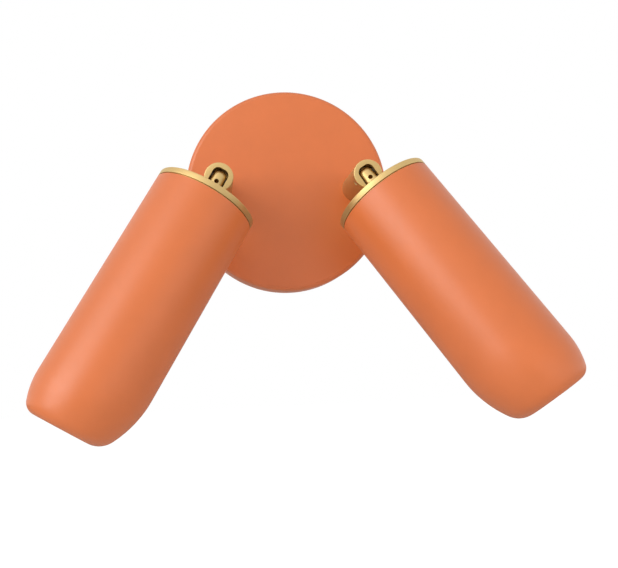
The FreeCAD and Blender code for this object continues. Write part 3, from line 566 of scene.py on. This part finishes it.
def steel_finish(base):
    """Zinc plating: pale cloudy patches over a fine rolled grain along the bar."""
    finish = Finish("zinc-plated steel", base, 0.38, metallic=1.0)
    cells = finish.node("ShaderNodeTexVoronoi", feature="F1")
    cells.inputs["Scale"].default_value = 1.0
    finish.link(finish.coordinate(330.0), cells.inputs["Vector"])
    finish.spread_colour(0.84, 1.05, cells.outputs["Distance"])
    finish.spread_roughness(0.28, 0.5, finish.noise((300.0, 2500.0, 2500.0)))
    finish.bump(finish.noise((500.0, 5000.0, 5000.0)), 3e-6)
    return finish.material


def moulded_finish(name, base, roughness, grain, depth):
    """Moulded or fired material: fine grain and a little unevenness of tone."""
    finish = Finish(name, base, roughness)
    finish.spread_colour(0.94, 1.03, finish.noise(grain / 12, detail=3.0))
    finish.spread_roughness(roughness - 0.06, roughness + 0.07, finish.noise(grain / 3))
    finish.bump(finish.noise(grain), depth)
    return finish.material


def nickel_finish(base):
    """Bright nickel with faint polishing marks."""
    finish = Finish("bright nickel", base, 0.16, metallic=1.0)
    finish.spread_colour(0.94, 1.03, finish.noise(300.0))
    finish.spread_roughness(0.12, 0.22, finish.noise((900.0, 900.0, 5000.0)))
    finish.bump(finish.noise((1500.0, 1500.0, 8000.0)), 1e-6)
    return finish.material


def capsule_finish(base):
    """Frosted glass: it lets light through softly and has an etched grain."""
    finish = Finish("frosted capsule glass", base, 0.45)
    finish.shader.inputs["Transmission Weight"].default_value = 0.55
    finish.shader.inputs["IOR"].default_value = 1.5
    finish.spread_colour(0.96, 1.0, finish.noise(200.0))
    finish.spread_roughness(0.38, 0.52, finish.noise(1800.0))
    finish.bump(finish.noise(5200.0, detail=1.0), 3e-6)
    return finish.material


def washer_shade_finish(base):
    """Thin washers beside the tongue, coloured dark as painted shade in the narrow gap, with a fine moulded grain.
    """
    finish = Finish("painted shade washers", base, 0.55)
    finish.spread_colour(0.9, 1.1, finish.noise(400.0))
    finish.spread_roughness(0.48, 0.62, finish.noise(1200.0))
    finish.bump(finish.noise(4800.0), 3e-6)
    return finish.material


def striped_sheath_finish(base, stripe):
    """Earth lead: a green sheath with a yellow stripe that winds along it."""
    finish = Finish("earth sheath", base, 0.45)
    wave = finish.node("ShaderNodeTexWave", wave_type="BANDS", bands_direction="DIAGONAL")
    wave.inputs["Scale"].default_value = 1.0
    wave.inputs["Distortion"].default_value = 0.4
    finish.link(finish.coordinate(60.0), wave.inputs["Vector"])
    steps = finish.node("ShaderNodeMapRange", interpolation_type="SMOOTHSTEP")
    steps.inputs["From Min"].default_value = 0.44
    steps.inputs["From Max"].default_value = 0.56
    finish.link(wave.outputs["Fac"], steps.inputs["Value"])
    mix = finish.node("ShaderNodeMix", data_type="RGBA")
    mix.inputs["A"].default_value = (*base, 1.0)
    mix.inputs["B"].default_value = (*stripe, 1.0)
    finish.link(steps.outputs["Result"], mix.inputs["Factor"])
    finish.link(mix.outputs["Result"], finish.shader.inputs["Base Color"])
    finish.spread_roughness(0.38, 0.52, finish.noise(700.0))
    finish.bump(finish.noise(2400.0), 4e-6)
    return finish.material


def finishes():
    """Every finish by its slot in the record; each is made once."""
    found = bpy.data.materials
    names = {
        "terracotta_paint": "terracotta powder coat",
        "turned_brass": "satin turned brass",
        "brass": "drawn brass",
        "zinc_steel": "zinc-plated steel",
        "white_plastic": "moulded white plastic",
        "white_ceramic": "fired ceramic",
        "capsule_glass": "frosted capsule glass",
        "lamp_shell": "glazed lamp shell",
        "nickel": "bright nickel",
        "painted_shade_washers": "painted shade washers",
        "lead_sheath": "lead sheath",
        "earth_sheath": "earth sheath",
    }
    if names["terracotta_paint"] not in found:
        tones = bpy.context.scene.wall_light_colours
        paint_finish(tones.paint)
        turned_brass_finish(tones.brass)
        plain_brass_finish(tones.brass)
        steel_finish(tones.steel)
        moulded_finish(names["white_plastic"], tones.plastic, 0.42, 2600.0, 4e-6)
        moulded_finish(names["white_ceramic"], tones.ceramic, 0.6, 1800.0, 14e-6)
        moulded_finish(names["lamp_shell"], tones.shell, 0.2, 900.0, 4e-6)
        moulded_finish(names["lead_sheath"], tones.sheath, 0.46, 2600.0, 4e-6)
        nickel_finish(tones.nickel)
        # dark washers: painted shade in the gap beside the tongue
        washer_shade_finish(tones.washer_shade)
        capsule_finish(tones.capsule)
        striped_sheath_finish(tones.earth, tones.earth_stripe)
    return {slot: found[name] for slot, name in names.items()}


# ---- plate -----------------------------------------------------------------------------------

class MakeCover(bpy.types.Operator):
    """Pressed round cover, with its screw holes and stop studs"""

    bl_idname = "wall_light.make_cover"
    bl_label = "Cover"

    def execute(self, context):
        sizes = context.scene.wall_light_sizes
        radius = (COVER_HIGH.x - COVER_LOW.x) / 2
        depth = -COVER_LOW.y
        inside = radius - sizes.sheet
        face_inside = depth - sizes.sheet
        holes = [
            {"wall": radius, "angle": angle, **COVER_SCREW} for angle in (0.0, HALF_TURN)
        ]
        profile = rounded_profile(
            [
                (0.0, depth, 0.0),
                (radius, depth, sizes.plate_rounding),
                (radius, 0.0, SMALL_EDGE),
                (inside, 0.0, SMALL_EDGE),
                (inside, face_inside, sizes.plate_rounding - sizes.sheet),
                (0.0, face_inside, 0.0),
            ],
            steps=COVER_EDGE_LINES,
        )
        half = COVER_SCREW["radius"]
        across = COVER_SCREW["height"] + np.linspace(half, -half, HOLE_LINES)
        wall = np.stack([np.full_like(across, radius), across], axis=1)
        profile = np.insert(profile, 2 * COVER_EDGE_LINES, wall, axis=0)
        grids = [(turned(profile, columns_for(holes, LARGE_TURN), holes), False)]
        grids += [(pocket(hole), False) for hole in holes]
        stud_end = face_inside - STOP_STUD["length"]
        stud = rounded_profile(
            [
                (0.0, stud_end, 0.0),
                (STOP_STUD["radius"], stud_end, SMALL_EDGE),
                (STOP_STUD["radius"], face_inside, 0.0),
                (0.0, face_inside, 0.0),
            ]
        )
        for side in SIDES.values():
            points = turned(stud, even_angles(STUD_TURN))
            points[:, :, 0] += side * STOP_STUD["place"]
            grids.append((points, False))
        facing = Matrix(((1, 0, 0, 0), (0, 0, -1, 0), (0, 1, 0, 0), (0, 0, 0, 1)))
        surface_object(
            "cover_shell", grids, facing, PLATE_BODY, "terracotta_paint", ["cover"],
        )
        return {"FINISHED"}


# ---- posts -----------------------------------------------------------------------------------

def slot_top(half_width):
    """Closed end of the slot from its right wall to its left: corner, flat, corner."""
    turn = np.linspace(0, HALF_TURN / 2, SLOT_CORNER_LINES)
    right = np.stack(
        [
            half_width - SLOT_ROUNDING * (1 - np.cos(turn)),
            SLOT_TOP - SLOT_ROUNDING * (1 - np.sin(turn)),
        ],
        axis=1,
    )
    return np.concatenate([right, (right * [-1.0, 1.0])[::-1]])


def forked_post(post):
    """Post with a slot that is open downwards, as one closed grid.

    The first parameter runs round the post, the second along a path. The path leaves the
    wireway at the tail, goes out along the tail and the round bar, over the fork's end and
    down the slot's wall to its floor, and back to the wireway. On a leg of the fork the
    slot's wall is level with the outside, and at its closed end the two are as far along.
    Under the slot's open side the fork's rows fall on the edge of its floor.
    """
    radius, half, chamfer = post["radius"], post["slot_half"], FORK_CHAMFER
    hole_half = PIN_END["radius"]
    top = slot_top(half)
    shoulder = SLOT_TOP - SLOT_ROUNDING

    def fork_angles(outer):
        """Angles from the right leg's inner edge over the top to the left's."""
        low = -math.acos(half / outer)
        pin = math.asin(hole_half / radius)
        high = math.asin(shoulder / outer)
        leg = np.concatenate(
            [
                np.linspace(low, -pin, BELOW_PIN_LINES)[:-1],
                np.arcsin(np.linspace(-hole_half, hole_half, HOLE_LINES) / radius),
                np.linspace(pin, high, ABOVE_PIN_LINES)[1:-1],
            ]
        )
        over = np.linspace(high, HALF_TURN - high, len(top))
        return np.concatenate([leg, over, HALF_TURN - leg[::-1]])

    fork = fork_angles(radius)
    legs = (len(fork) - len(top)) // 2
    gap = np.linspace(fork[-1], fork[0] + FULL_TURN, OPEN_SIDE_LINES)
    everywhere = np.concatenate([fork, gap])
    in_fork = np.arange(len(everywhere)) < len(fork)

    def ring(circle_radius, height):
        """Full circle at a height."""
        return np.stack(
            [
                circle_radius * np.cos(everywhere), circle_radius * np.sin(everywhere),
                height + 0 * everywhere,
            ],
            axis=1,
        )

    def outside(circle_radius, height):
        """Outside of the fork at a height, and the floor's edge under the slot's open side."""
        row = ring(radius, post["floor"])
        angles = fork_angles(circle_radius)
        row[in_fork] = np.stack(
            [circle_radius * np.cos(angles), circle_radius * np.sin(angles), height + 0 * angles],
            axis=1,
        )
        return row

    def slot_wall(circle_radius, height):
        """Slot's wall at a height, level with the outside at a circle's radius."""
        row = ring(radius, post["floor"])
        level = circle_radius * np.sin(fork_angles(circle_radius))
        wall = np.stack([np.full(len(level), half), level], axis=1)
        wall[legs:-legs] = top
        wall[-legs:, 0] = -half
        row[in_fork] = np.concatenate([wall, np.full((len(wall), 1), height)], axis=1)
        return row

    base, floor, front = post["base"], post["floor"], post["front"]
    pin_rows = post["holes"][0]["height"] + np.linspace(-hole_half, hole_half, HOLE_LINES)
    fork_rows = np.concatenate([[floor + chamfer], pin_rows, [front - chamfer]])
    turn = np.linspace(0, HALF_TURN / 2, EDGE_LINES)[1:]
    rows = [
        ring(WIREWAY_RADIUS, post["tail_end"]),
        ring(TAIL_RADIUS - chamfer, post["tail_end"]),
        ring(TAIL_RADIUS, post["tail_end"] + chamfer),
        ring(TAIL_RADIUS, base),
        ring(radius, base),
    ]
    rows += [ring(radius, height) for height in np.linspace(base, floor, BAR_LINES)[1:]]
    straight = len(rows)
    rows += [outside(radius, height) for height in fork_rows]
    bored = len(rows)
    rows += [
        outside(radius - chamfer * (1 - math.cos(t)), front - chamfer * (1 - math.sin(t)))
        for t in turn
    ]
    rows.append(slot_wall(radius - chamfer, front))
    rows += [slot_wall(radius, height) for height in fork_rows[::-1]]
    rows.append(slot_wall(radius, floor))
    rows.append(ring(WIREWAY_RADIUS, floor))
    points = np.stack(rows)
    for hole in post["holes"]:
        part = points[straight:bored]
        angle, height = np.arctan2(part[:, :, 1], part[:, :, 0]), part[:, :, 2]
        outer = np.hypot(part[:, :, 0], part[:, :, 1])
        angle, height, inside = round_hole_in(angle, height, outer, hole)
        moved = np.stack([outer * np.cos(angle), outer * np.sin(angle), height], axis=2)
        moved[inside] = np.nan
        points[straight:bored] = moved
    return points


class MakePosts(bpy.types.Operator):
    """Forked post for each side"""

    bl_idname = "wall_light.make_posts"
    bl_label = "Posts"

    def execute(self, context):
        sizes = context.scene.wall_light_sizes
        for name in SIDES:
            low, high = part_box(f"{name}_post")
            pivot_out = -JOINTS[f"{name}_tilt"]["pos_m"][1]
            holes = [
                {"wall": sizes.post_radius, "angle": angle, "height": pivot_out, **PIN_END}
                for angle in (0.0, HALF_TURN)
            ]
            post = {
                "radius": sizes.post_radius,
                "slot_half": sizes.slot_width / 2,
                "base": -COVER_LOW.y,
                "front": -low.y,
                "floor": pivot_out - SLOT_DEPTH,
                "tail_end": -high.y,
                "holes": holes,
            }
            grids = [(forked_post(post), True)] + [(pocket(hole), False) for hole in holes]
            surface_object(
                f"{name}_forked_post", grids, post_matrix(name), f"{name}_post_body",
                "brass", [f"{name}_post"], "turned_brass",
            )
        return {"FINISHED"}


# ---- heads -----------------------------------------------------------------------------------

def tongue_surface(width, depth, foot):
    """Tongue with a full round end, a foot and a stud, and its hole from front to back.

    Its sections are superellipses, |x / half width|^n + |y / half depth|^n = w^n. Up to the
    pivot w is 1, and above it the end closes over with w^n = 1 - (height / dome height)^n.
    Columns are even turns t with x = half width * cos(t)^(2/n), and where the hole is they
    stand at even places across it. The rim's crossings move onto the circle.
    """
    n = TONGUE_FULLNESS
    half, reach = width / 2, depth / 2
    hole, hole_half = TONGUE_HOLE["height"], TONGUE_HOLE["radius"]
    hole_steps = np.linspace(-hole_half, hole_half, HOLE_LINES)
    angles = even_angles(TONGUE_TURN)
    beside = half * abs(np.cos(angles)) ** (2 / n)
    angles = angles[beside > hole_half * TONGUE_COLUMN_GAP]
    close = np.arccos(np.sign(hole_steps) * (abs(hole_steps) / half) ** (n / 2))
    angles = np.unique(np.round(np.concatenate([angles, close, FULL_TURN - close]), 12))
    side = np.sign(np.cos(angles)) * abs(np.cos(angles)) ** (2 / n)
    front = np.sign(np.sin(angles)) * abs(np.sin(angles)) ** (2 / n)
    rise = TONGUE_DOME * np.sin(np.linspace(HALF_TURN / 2, 0, DOME_LINES))
    closing = (1 - np.minimum(rise / TONGUE_DOME, 1.0) ** n) ** (1 / n)
    across = hole - hole_steps
    heights = np.concatenate([rise, across, [foot[0, 1]]])
    closing = np.concatenate([closing, np.ones(len(across) + 1)])
    x = half * closing[:, None] * side
    y = reach * closing[:, None] * front
    z = np.repeat(heights[:, None], len(angles), axis=1)
    offset = z - hole
    span = np.maximum(abs(x), abs(offset))
    straight = np.repeat(closing[:, None] == 1.0, len(angles), axis=1)
    border = straight & (abs(span - hole_half) < MERGE_DISTANCE)
    from_centre = np.maximum(np.hypot(x, offset), MERGE_DISTANCE)
    pull = np.where(border, hole_half / from_centre, 1.0)
    x, z = x * pull, hole + offset * pull
    wall = np.sign(y) * reach * np.maximum(0.0, 1 - abs(x / half) ** n) ** (1 / n)
    body = np.stack([x, np.where(border, wall, y), z], axis=2)
    body[straight & (span < hole_half - MERGE_DISTANCE)] = np.nan
    body = np.concatenate([body, turned(foot, angles)])
    sideways, upwards = hole_rim(TONGUE_HOLE).T
    depth_there = reach * (1 - abs(sideways / half) ** n) ** (1 / n)
    near = np.stack([sideways, -depth_there, hole + upwards], axis=1)
    return [(body, False), (np.stack([near, near * [1.0, -1.0, 1.0]]), False)]


class MakeTongues(bpy.types.Operator):
    """Round-ended tongue for each side"""

    bl_idname = "wall_light.make_tongues"
    bl_label = "Tongues"

    def execute(self, context):
        sizes = context.scene.wall_light_sizes
        foot = rounded_profile(
            [
                (FOOT_RADIUS, CAP_TOP + FOOT_HEIGHT, FOOT_EDGE),
                (FOOT_RADIUS, CAP_TOP, 0.0),
                (STUD_RADIUS, CAP_TOP, 0.0),
                (STUD_RADIUS, STUD_END, SMALL_EDGE),
                (0.0, STUD_END, 0.0),
            ]
        )
        grids = tongue_surface(sizes.tongue_width, sizes.tongue_depth, foot)
        for name in SIDES:
            surface_object(
                f"{name}_domed_tongue", grids, head_matrix(name), f"{name}_head", "brass",
                [f"{name}_tongue"], "turned_brass",
            )
        return {"FINISHED"}


class MakeCaps(bpy.types.Operator):
    """Turned cap with its ring, groove and spigot for each side"""

    bl_idname = "wall_light.make_caps"
    bl_label = "Caps"

    def execute(self, context):
        sizes = context.scene.wall_light_sizes
        under = CAP_TOP - sizes.ring_height
        seat = under - sizes.groove_height
        end = seat - SPIGOT_LENGTH
        radius = sizes.head_radius
        spigot = radius - sizes.sheet - SPIGOT_GAP
        profile = rounded_profile(
            [
                (CAP_BORE, CAP_TOP, 0.0),
                (radius, CAP_TOP, CAP_ROUNDING),
                (radius, under, SPIGOT_EDGE),
                (GROOVE_RADIUS, under, 0.0),
                (GROOVE_RADIUS, seat, 0.0),
                (spigot, seat, 0.0),
                (spigot, end, SPIGOT_EDGE),
                (spigot - SPIGOT_WALL, end, SPIGOT_EDGE),
                (spigot - SPIGOT_WALL, under, 0.0),
                (CAP_BORE, under, 0.0),
            ],
            steps=CAP_EDGE_LINES,
        )
        grids = [(turned(profile, even_angles(LARGE_TURN)), True)]
        for name in SIDES:
            surface_object(
                f"{name}_ringed_cap", grids, head_matrix(name), f"{name}_head", "brass",
                [f"{name}_cap"], "turned_brass",
            )
        return {"FINISHED"}


def side_reach(rise, side, head_radius, inset):
    """How far one side stands from the head's axis at a rise above the mouth.

    It is straight above the long arc's start. Below it the long arc curves in, and then the
    lip's arc, which is tangent to it and to the mouth. The inside has the same centres,
    with both arcs smaller by the inset.
    """
    between = side["arc"] - side["lip"]
    run = np.maximum(0.0, side["run"] - rise)
    lip_height = side["run"] - (side["arc"] - inset) * (side["run"] - side["lip"]) / between
    centre = math.sqrt(between ** 2 - (side["run"] - side["lip"]) ** 2)
    long_arc = np.sqrt(np.maximum(0.0, (side["arc"] - inset) ** 2 - run ** 2))
    drop = np.clip(side["lip"] - rise, 0.0, side["lip"] - inset)
    lip_arc = np.sqrt((side["lip"] - inset) ** 2 - drop ** 2)
    return head_radius - side["arc"] + np.where(rise > lip_height, long_arc, centre + lip_arc)


def necked_wall(side, sizes, angles, rises, inset, holes=()):
    """Rows of points down one wall of a shade, one row for each rise above the mouth.

    Every section is a circle. Its radius is the half sum of its inner and outer reach, and
    its centre moves by their half difference. From the neck's start to the mouth its plane
    leans evenly further, up at the side that faces the wall.
    """
    angle, rise = np.meshgrid(angles, rises)
    left_out = np.zeros(angle.shape, bool)
    for hole in holes:
        angle, rise, inside = round_hole_in(angle, rise, hole["wall"], hole)
        left_out |= inside
    inner = side_reach(rise, INNER_SIDE, sizes.head_radius, inset)
    outer = side_reach(rise, OUTER_SIDE, sizes.head_radius, inset)
    shift, radius = side * (outer - inner) / 2, (outer + inner) / 2
    lean = MOUTH_LEAN * np.clip(1 - rise / NECK_RISE, 0, 1)
    across = radius * np.sin(angle)
    points = np.stack(
        [
            shift + radius * np.cos(angle),
            across * np.cos(lean),
            rise - MOUTH_DROP + across * np.sin(lean),
        ],
        axis=2,
    )
    points[left_out] = np.nan
    return points


def mouth_edge(side, sizes, angles):
    """Rows through the hole in the mouth's flat rim, with its two edges rounded."""
    turn = np.linspace(0, HALF_TURN / 2, EDGE_LINES)
    rise = MOUTH_ROUNDING * (1 - np.cos(turn))
    radius = sizes.opening_radius + MOUTH_ROUNDING * (1 - np.sin(turn))
    rise = np.concatenate([rise, sizes.sheet - rise[::-1]])
    radius = np.concatenate([radius, radius[::-1]])
    inner = side_reach(0.0, INNER_SIDE, sizes.head_radius, 0.0)
    outer = side_reach(0.0, OUTER_SIDE, sizes.head_radius, 0.0)
    shift = side * (outer - inner) / 2
    across = radius[:, None] * np.sin(angles)
    return np.stack(
        [
            shift + radius[:, None] * np.cos(angles),
            across * math.cos(MOUTH_LEAN),
            rise[:, None] - MOUTH_DROP + across * math.sin(MOUTH_LEAN),
        ],
        axis=2,
    )


def shade_surface(side, sizes, top_drop, holes):
    """Closed thin wall of a shade: outside down to the mouth, its rim, and back up inside."""
    angles = columns_for(holes, LARGE_TURN)
    top = MOUTH_DROP - top_drop
    half, screw_rise = SHADE_SCREW["radius"], holes[0]["height"]
    screw_rows = screw_rise + np.linspace(half, -half, HOLE_LINES)
    lip_top = INNER_SIDE["lip"] / 2
    below_screws = np.linspace(screw_rise - 4 * half, NECK_RISE, TUBE_LINES)
    tube = np.concatenate([[top], screw_rows, below_screws])
    neck = np.linspace(NECK_RISE, lip_top, NECK_LINES)[1:]

    def down_to(floor):
        """Rises from the neck's start down to a floor, closer together towards it."""
        lip = floor + (lip_top - floor) * np.linspace(1, 0, LIP_LINES)[1:] ** 2
        return np.concatenate([neck, lip])

    outside = necked_wall(
        side, sizes, angles, np.concatenate([tube, down_to(0.0)]), 0.0, holes
    )
    inside = necked_wall(
        side, sizes, angles, np.concatenate([[top, NECK_RISE], down_to(sizes.sheet)]), sizes.sheet
    )
    return np.concatenate([outside, mouth_edge(side, sizes, angles), inside[::-1]])


class MakeShades(bpy.types.Operator):
    """Spun shade with its off-centre narrowed mouth for each side"""

    bl_idname = "wall_light.make_shades"
    bl_label = "Shades"

    def execute(self, context):
        sizes = context.scene.wall_light_sizes
        top_drop = sizes.ring_height + sizes.groove_height - CAP_TOP
        screw_rise = MOUTH_DROP - top_drop - SHADE_SCREW["drop"]
        holes = [
            {"wall": sizes.head_radius, "angle": angle, "height": screw_rise,
             "radius": SHADE_SCREW["radius"], "depth": SHADE_SCREW["depth"]}
            for angle in SHADE_SCREW_ANGLES
        ]
        for name, side in SIDES.items():
            grids = [(shade_surface(side, sizes, top_drop, holes), True)]
            for hole in holes:
                points = pocket(hole)
                points[:, :, 2] -= MOUTH_DROP
                grids.append((points, False))
            surface_object(
                f"{name}_spun_shade", grids, head_matrix(name), f"{name}_head",
                "terracotta_paint", [f"{name}_shade"],
            )
        return {"FINISHED"}


class MakeLamps(bpy.types.Operator):
    """Capsule lamp, base and glass, for each side"""

    bl_idname = "wall_light.make_lamps"
    bl_label = "Lamps"

    def execute(self, context):
        sizes = context.scene.wall_light_sizes
        inner = side_reach(0.0, INNER_SIDE, sizes.head_radius, 0.0)
        outer = side_reach(0.0, OUTER_SIDE, sizes.head_radius, 0.0)
        radius, dome_start = CAPSULE["radius"], CAPSULE["dome"]
        foot = rounded_profile(
            [
                (0.0, CAPSULE["foot"], 0.0),
                (radius, CAPSULE["foot"], CAPSULE["rounding"]),
                (radius, dome_start, 0.0),
            ]
        )
        turn = np.linspace(0, HALF_TURN / 2, DOME_LINES)[1:]
        dome = np.stack([radius * np.cos(turn), dome_start - radius * np.sin(turn)], axis=1)
        base = turned(rounded_profile(BASE_PROFILE), even_angles(LAMP_BASE_TURN))
        capsule = turned(np.concatenate([foot, dome]), even_angles(CAPSULE_TURN))
        for name, side in SIDES.items():
            place = head_matrix(name) @ Matrix.Translation((side * (outer - inner) / 2, 0, 0))
            surface_object(
                f"{name}_capsule_base", [(base, False)], place, f"{name}_head",
                "lamp_shell", [f"{name}_lamp_base"],
            )
            surface_object(
                f"{name}_glass_capsule", [(capsule, False)], place, f"{name}_head",
                "capsule_glass", [f"{name}_lamp_capsule"],
            )
        return {"FINISHED"}


# ---- fittings --------------------------------------------------------------------------------

class FinishFittings(bpy.types.Operator):
    """Materials of the fittings whose shapes come from the frame"""

    bl_idname = "wall_light.finish_fittings"
    bl_label = "Fittings"

    def execute(self, context):
        made = finishes()
        for row in frame["record"]["subparts"]:
            materials = frame["nodes"][row["node"]].data.materials
            materials.clear()
            # the pivot washers get a dark finish as painted shade in the gap beside the tongue
            washers = row["node"].endswith("pivot_washers")
            materials.append(made["painted_shade_washers" if washers else row["material_slot"]])
        return {"FINISHED"}


# ---- stage -----------------------------------------------------------------------------------

def lamp_matrix(direction):
    """Place of a lamp that points at the stage's middle.

    It stands at an angle around from the front, positive to the right, and at an angle
    above the level. Its local Z axis points back along the line from the middle.
    """
    turn = Matrix.Rotation(math.radians(direction["around"]), 4, "Z")
    lift = Matrix.Rotation(math.radians(90.0 - direction["above"]), 4, "X")
    out = Matrix.Translation((0.0, 0.0, LAMP_DISTANCE))
    return Matrix.Translation(STAGE_MIDDLE) @ turn @ lift @ out


class MakeStage(bpy.types.Operator):
    """Pale floor, soft lamps, white surroundings and the camera"""

    bl_idname = "wall_light.make_stage"
    bl_label = "Stage"

    def execute(self, context):
        stage = context.scene.wall_light_stage
        tones = context.scene.wall_light_colours
        self.make_floor(stage.floor_drop, tones.floor)
        self.make_lamp("key lamp", KEY_LAMP, stage.key_power)
        self.make_lamp("top lamp", TOP_LAMP, stage.top_power)
        self.make_lamp("side lamp", SIDE_LAMP, stage.side_power, reflected=False)
        self.make_lamp("low lamp", LOW_LAMP, stage.low_power, reflected=False)
        self.make_world(stage.surround_level)
        self.make_camera()
        context.scene.view_settings.view_transform = "Standard"
        return {"FINISHED"}

    def make_floor(self, drop, tone):
        """Level square floor that keeps shadows and shows white to the camera."""
        lines = np.linspace(-FLOOR_REACH, FLOOR_REACH, FLOOR_LINES)
        x, y = np.meshgrid(lines, lines)
        points = np.stack([x, y, np.full_like(x, -drop)], axis=2).reshape(-1, 3)
        numbers = np.arange(x.size).reshape(x.shape)
        cells = np.stack(
            [numbers[:-1, :-1], numbers[:-1, 1:], numbers[1:, 1:], numbers[1:, :-1]], axis=2
        ).reshape(-1, 4)
        mesh = bpy.data.meshes.new("floor")
        mesh.from_pydata(points.tolist(), [], cells.tolist())
        floor = bpy.data.objects.new("floor", mesh)
        bpy.context.scene.collection.objects.link(floor)
        material = bpy.data.materials.new("pale floor")
        material.use_nodes = True
        tree = material.node_tree
        shader = tree.nodes["Principled BSDF"]
        shader.inputs["Base Color"].default_value = (*tone, 1.0)
        shader.inputs["Roughness"].default_value = 0.9
        shader.inputs["Specular IOR Level"].default_value = 0.0
        shader.inputs["Emission Color"].default_value = (1.0, 1.0, 1.0, 1.0)
        path = tree.nodes.new("ShaderNodeLightPath")
        scale = tree.nodes.new("ShaderNodeMath")
        scale.operation = "MULTIPLY"
        scale.inputs[1].default_value = FLOOR_GLOW
        tree.links.new(path.outputs["Is Camera Ray"], scale.inputs[0])
        tree.links.new(scale.outputs["Value"], shader.inputs["Emission Strength"])
        mesh.materials.append(material)

    def make_lamp(self, name, direction, watts, reflected=True):
        """Square soft lamp; one that isn't reflected only fills the shadows."""
        lamp = bpy.data.lights.new(name, "AREA")
        lamp.shape = "SQUARE"
        lamp.size = LAMP_SIZE
        lamp.energy = watts
        holder = bpy.data.objects.new(name, lamp)
        holder.matrix_world = lamp_matrix(direction)
        holder.visible_glossy = reflected
        bpy.context.scene.collection.objects.link(holder)

    def make_world(self, level):
        """Even surroundings: dim as light, and white where the camera or a gloss sees them."""
        world = bpy.data.worlds.new("white surroundings")
        bpy.context.scene.world = world
        world.use_nodes = True
        tree = world.node_tree
        background = tree.nodes["Background"]
        background.inputs["Color"].default_value = (1.0, 1.0, 1.0, 1.0)
        path = tree.nodes.new("ShaderNodeLightPath")
        seen = path.outputs["Is Camera Ray"]
        for kind in ("Is Glossy Ray", "Is Transmission Ray"):
            either = tree.nodes.new("ShaderNodeMath")
            either.operation = "MAXIMUM"
            tree.links.new(seen, either.inputs[0])
            tree.links.new(path.outputs[kind], either.inputs[1])
            seen = either.outputs["Value"]
        span = tree.nodes.new("ShaderNodeMapRange")
        span.inputs["To Min"].default_value = level
        span.inputs["To Max"].default_value = 1.0
        tree.links.new(seen, span.inputs["Value"])
        tree.links.new(span.outputs["Result"], background.inputs["Strength"])

    def make_camera(self):
        """Camera turned by a pan about Z, then a tilt about X, then a roll about Y."""
        turn = (
            Matrix.Rotation(CAMERA_PAN, 3, "Z") @ Matrix.Rotation(CAMERA_TILT, 3, "X")
            @ Matrix.Rotation(CAMERA_ROLL, 3, "Y")
        )
        matrix = Matrix.Identity(4)
        for number, column in enumerate((turn.col[0], turn.col[2], -turn.col[1])):
            matrix.col[number][:3] = column
        matrix.col[3][:3] = CAMERA_PLACE
        camera = bpy.data.cameras.new("camera")
        camera.sensor_width = SENSOR_WIDTH
        camera.lens = FOCAL_SHARE * SENSOR_WIDTH
        camera.clip_start = CAMERA_NEAR
        holder = bpy.data.objects.new("camera", camera)
        holder.matrix_world = matrix
        bpy.context.scene.collection.objects.link(holder)
        bpy.context.scene.camera = holder


# ---- panel and start -------------------------------------------------------------------------

OPERATORS = (
    MakeCover, MakePosts, MakeTongues, MakeCaps, MakeShades, MakeLamps, FinishFittings, MakeStage,
)
GROUPS = {
    "wall_light_sizes": WallLightSizes,
    "wall_light_colours": WallLightColours,
    "wall_light_stage": WallLightStage,
}


class WALLLIGHT_PT_builder(bpy.types.Panel):
    """Lists the settings and the steps that make the light"""

    bl_idname = "WALLLIGHT_PT_builder"
    bl_label = "Wall Light"
    bl_space_type = "VIEW_3D"
    bl_region_type = "UI"
    bl_category = "Wall Light"

    def draw(self, context):
        layout = self.layout
        for attribute, group in GROUPS.items():
            box = layout.box()
            for name in group.__annotations__:
                box.prop(getattr(context.scene, attribute), name)
        for operator in OPERATORS:
            layout.operator(operator.bl_idname)


def register():
    for kind in (*GROUPS.values(), *OPERATORS, WALLLIGHT_PT_builder):
        bpy.utils.register_class(kind)
    for attribute, group in GROUPS.items():
        setattr(bpy.types.Scene, attribute, bpy.props.PointerProperty(type=group))


def unregister():
    for attribute in GROUPS:
        delattr(bpy.types.Scene, attribute)
    for kind in reversed((*GROUPS.values(), *OPERATORS, WALLLIGHT_PT_builder)):
        bpy.utils.unregister_class(kind)


def main():
    """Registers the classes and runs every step."""
    register()
    for operator in OPERATORS:
        group, name = operator.bl_idname.split(".")
        getattr(getattr(bpy.ops, group), name)()
    bpy.context.view_layer.update()


if __name__ == "__main__":
    main()
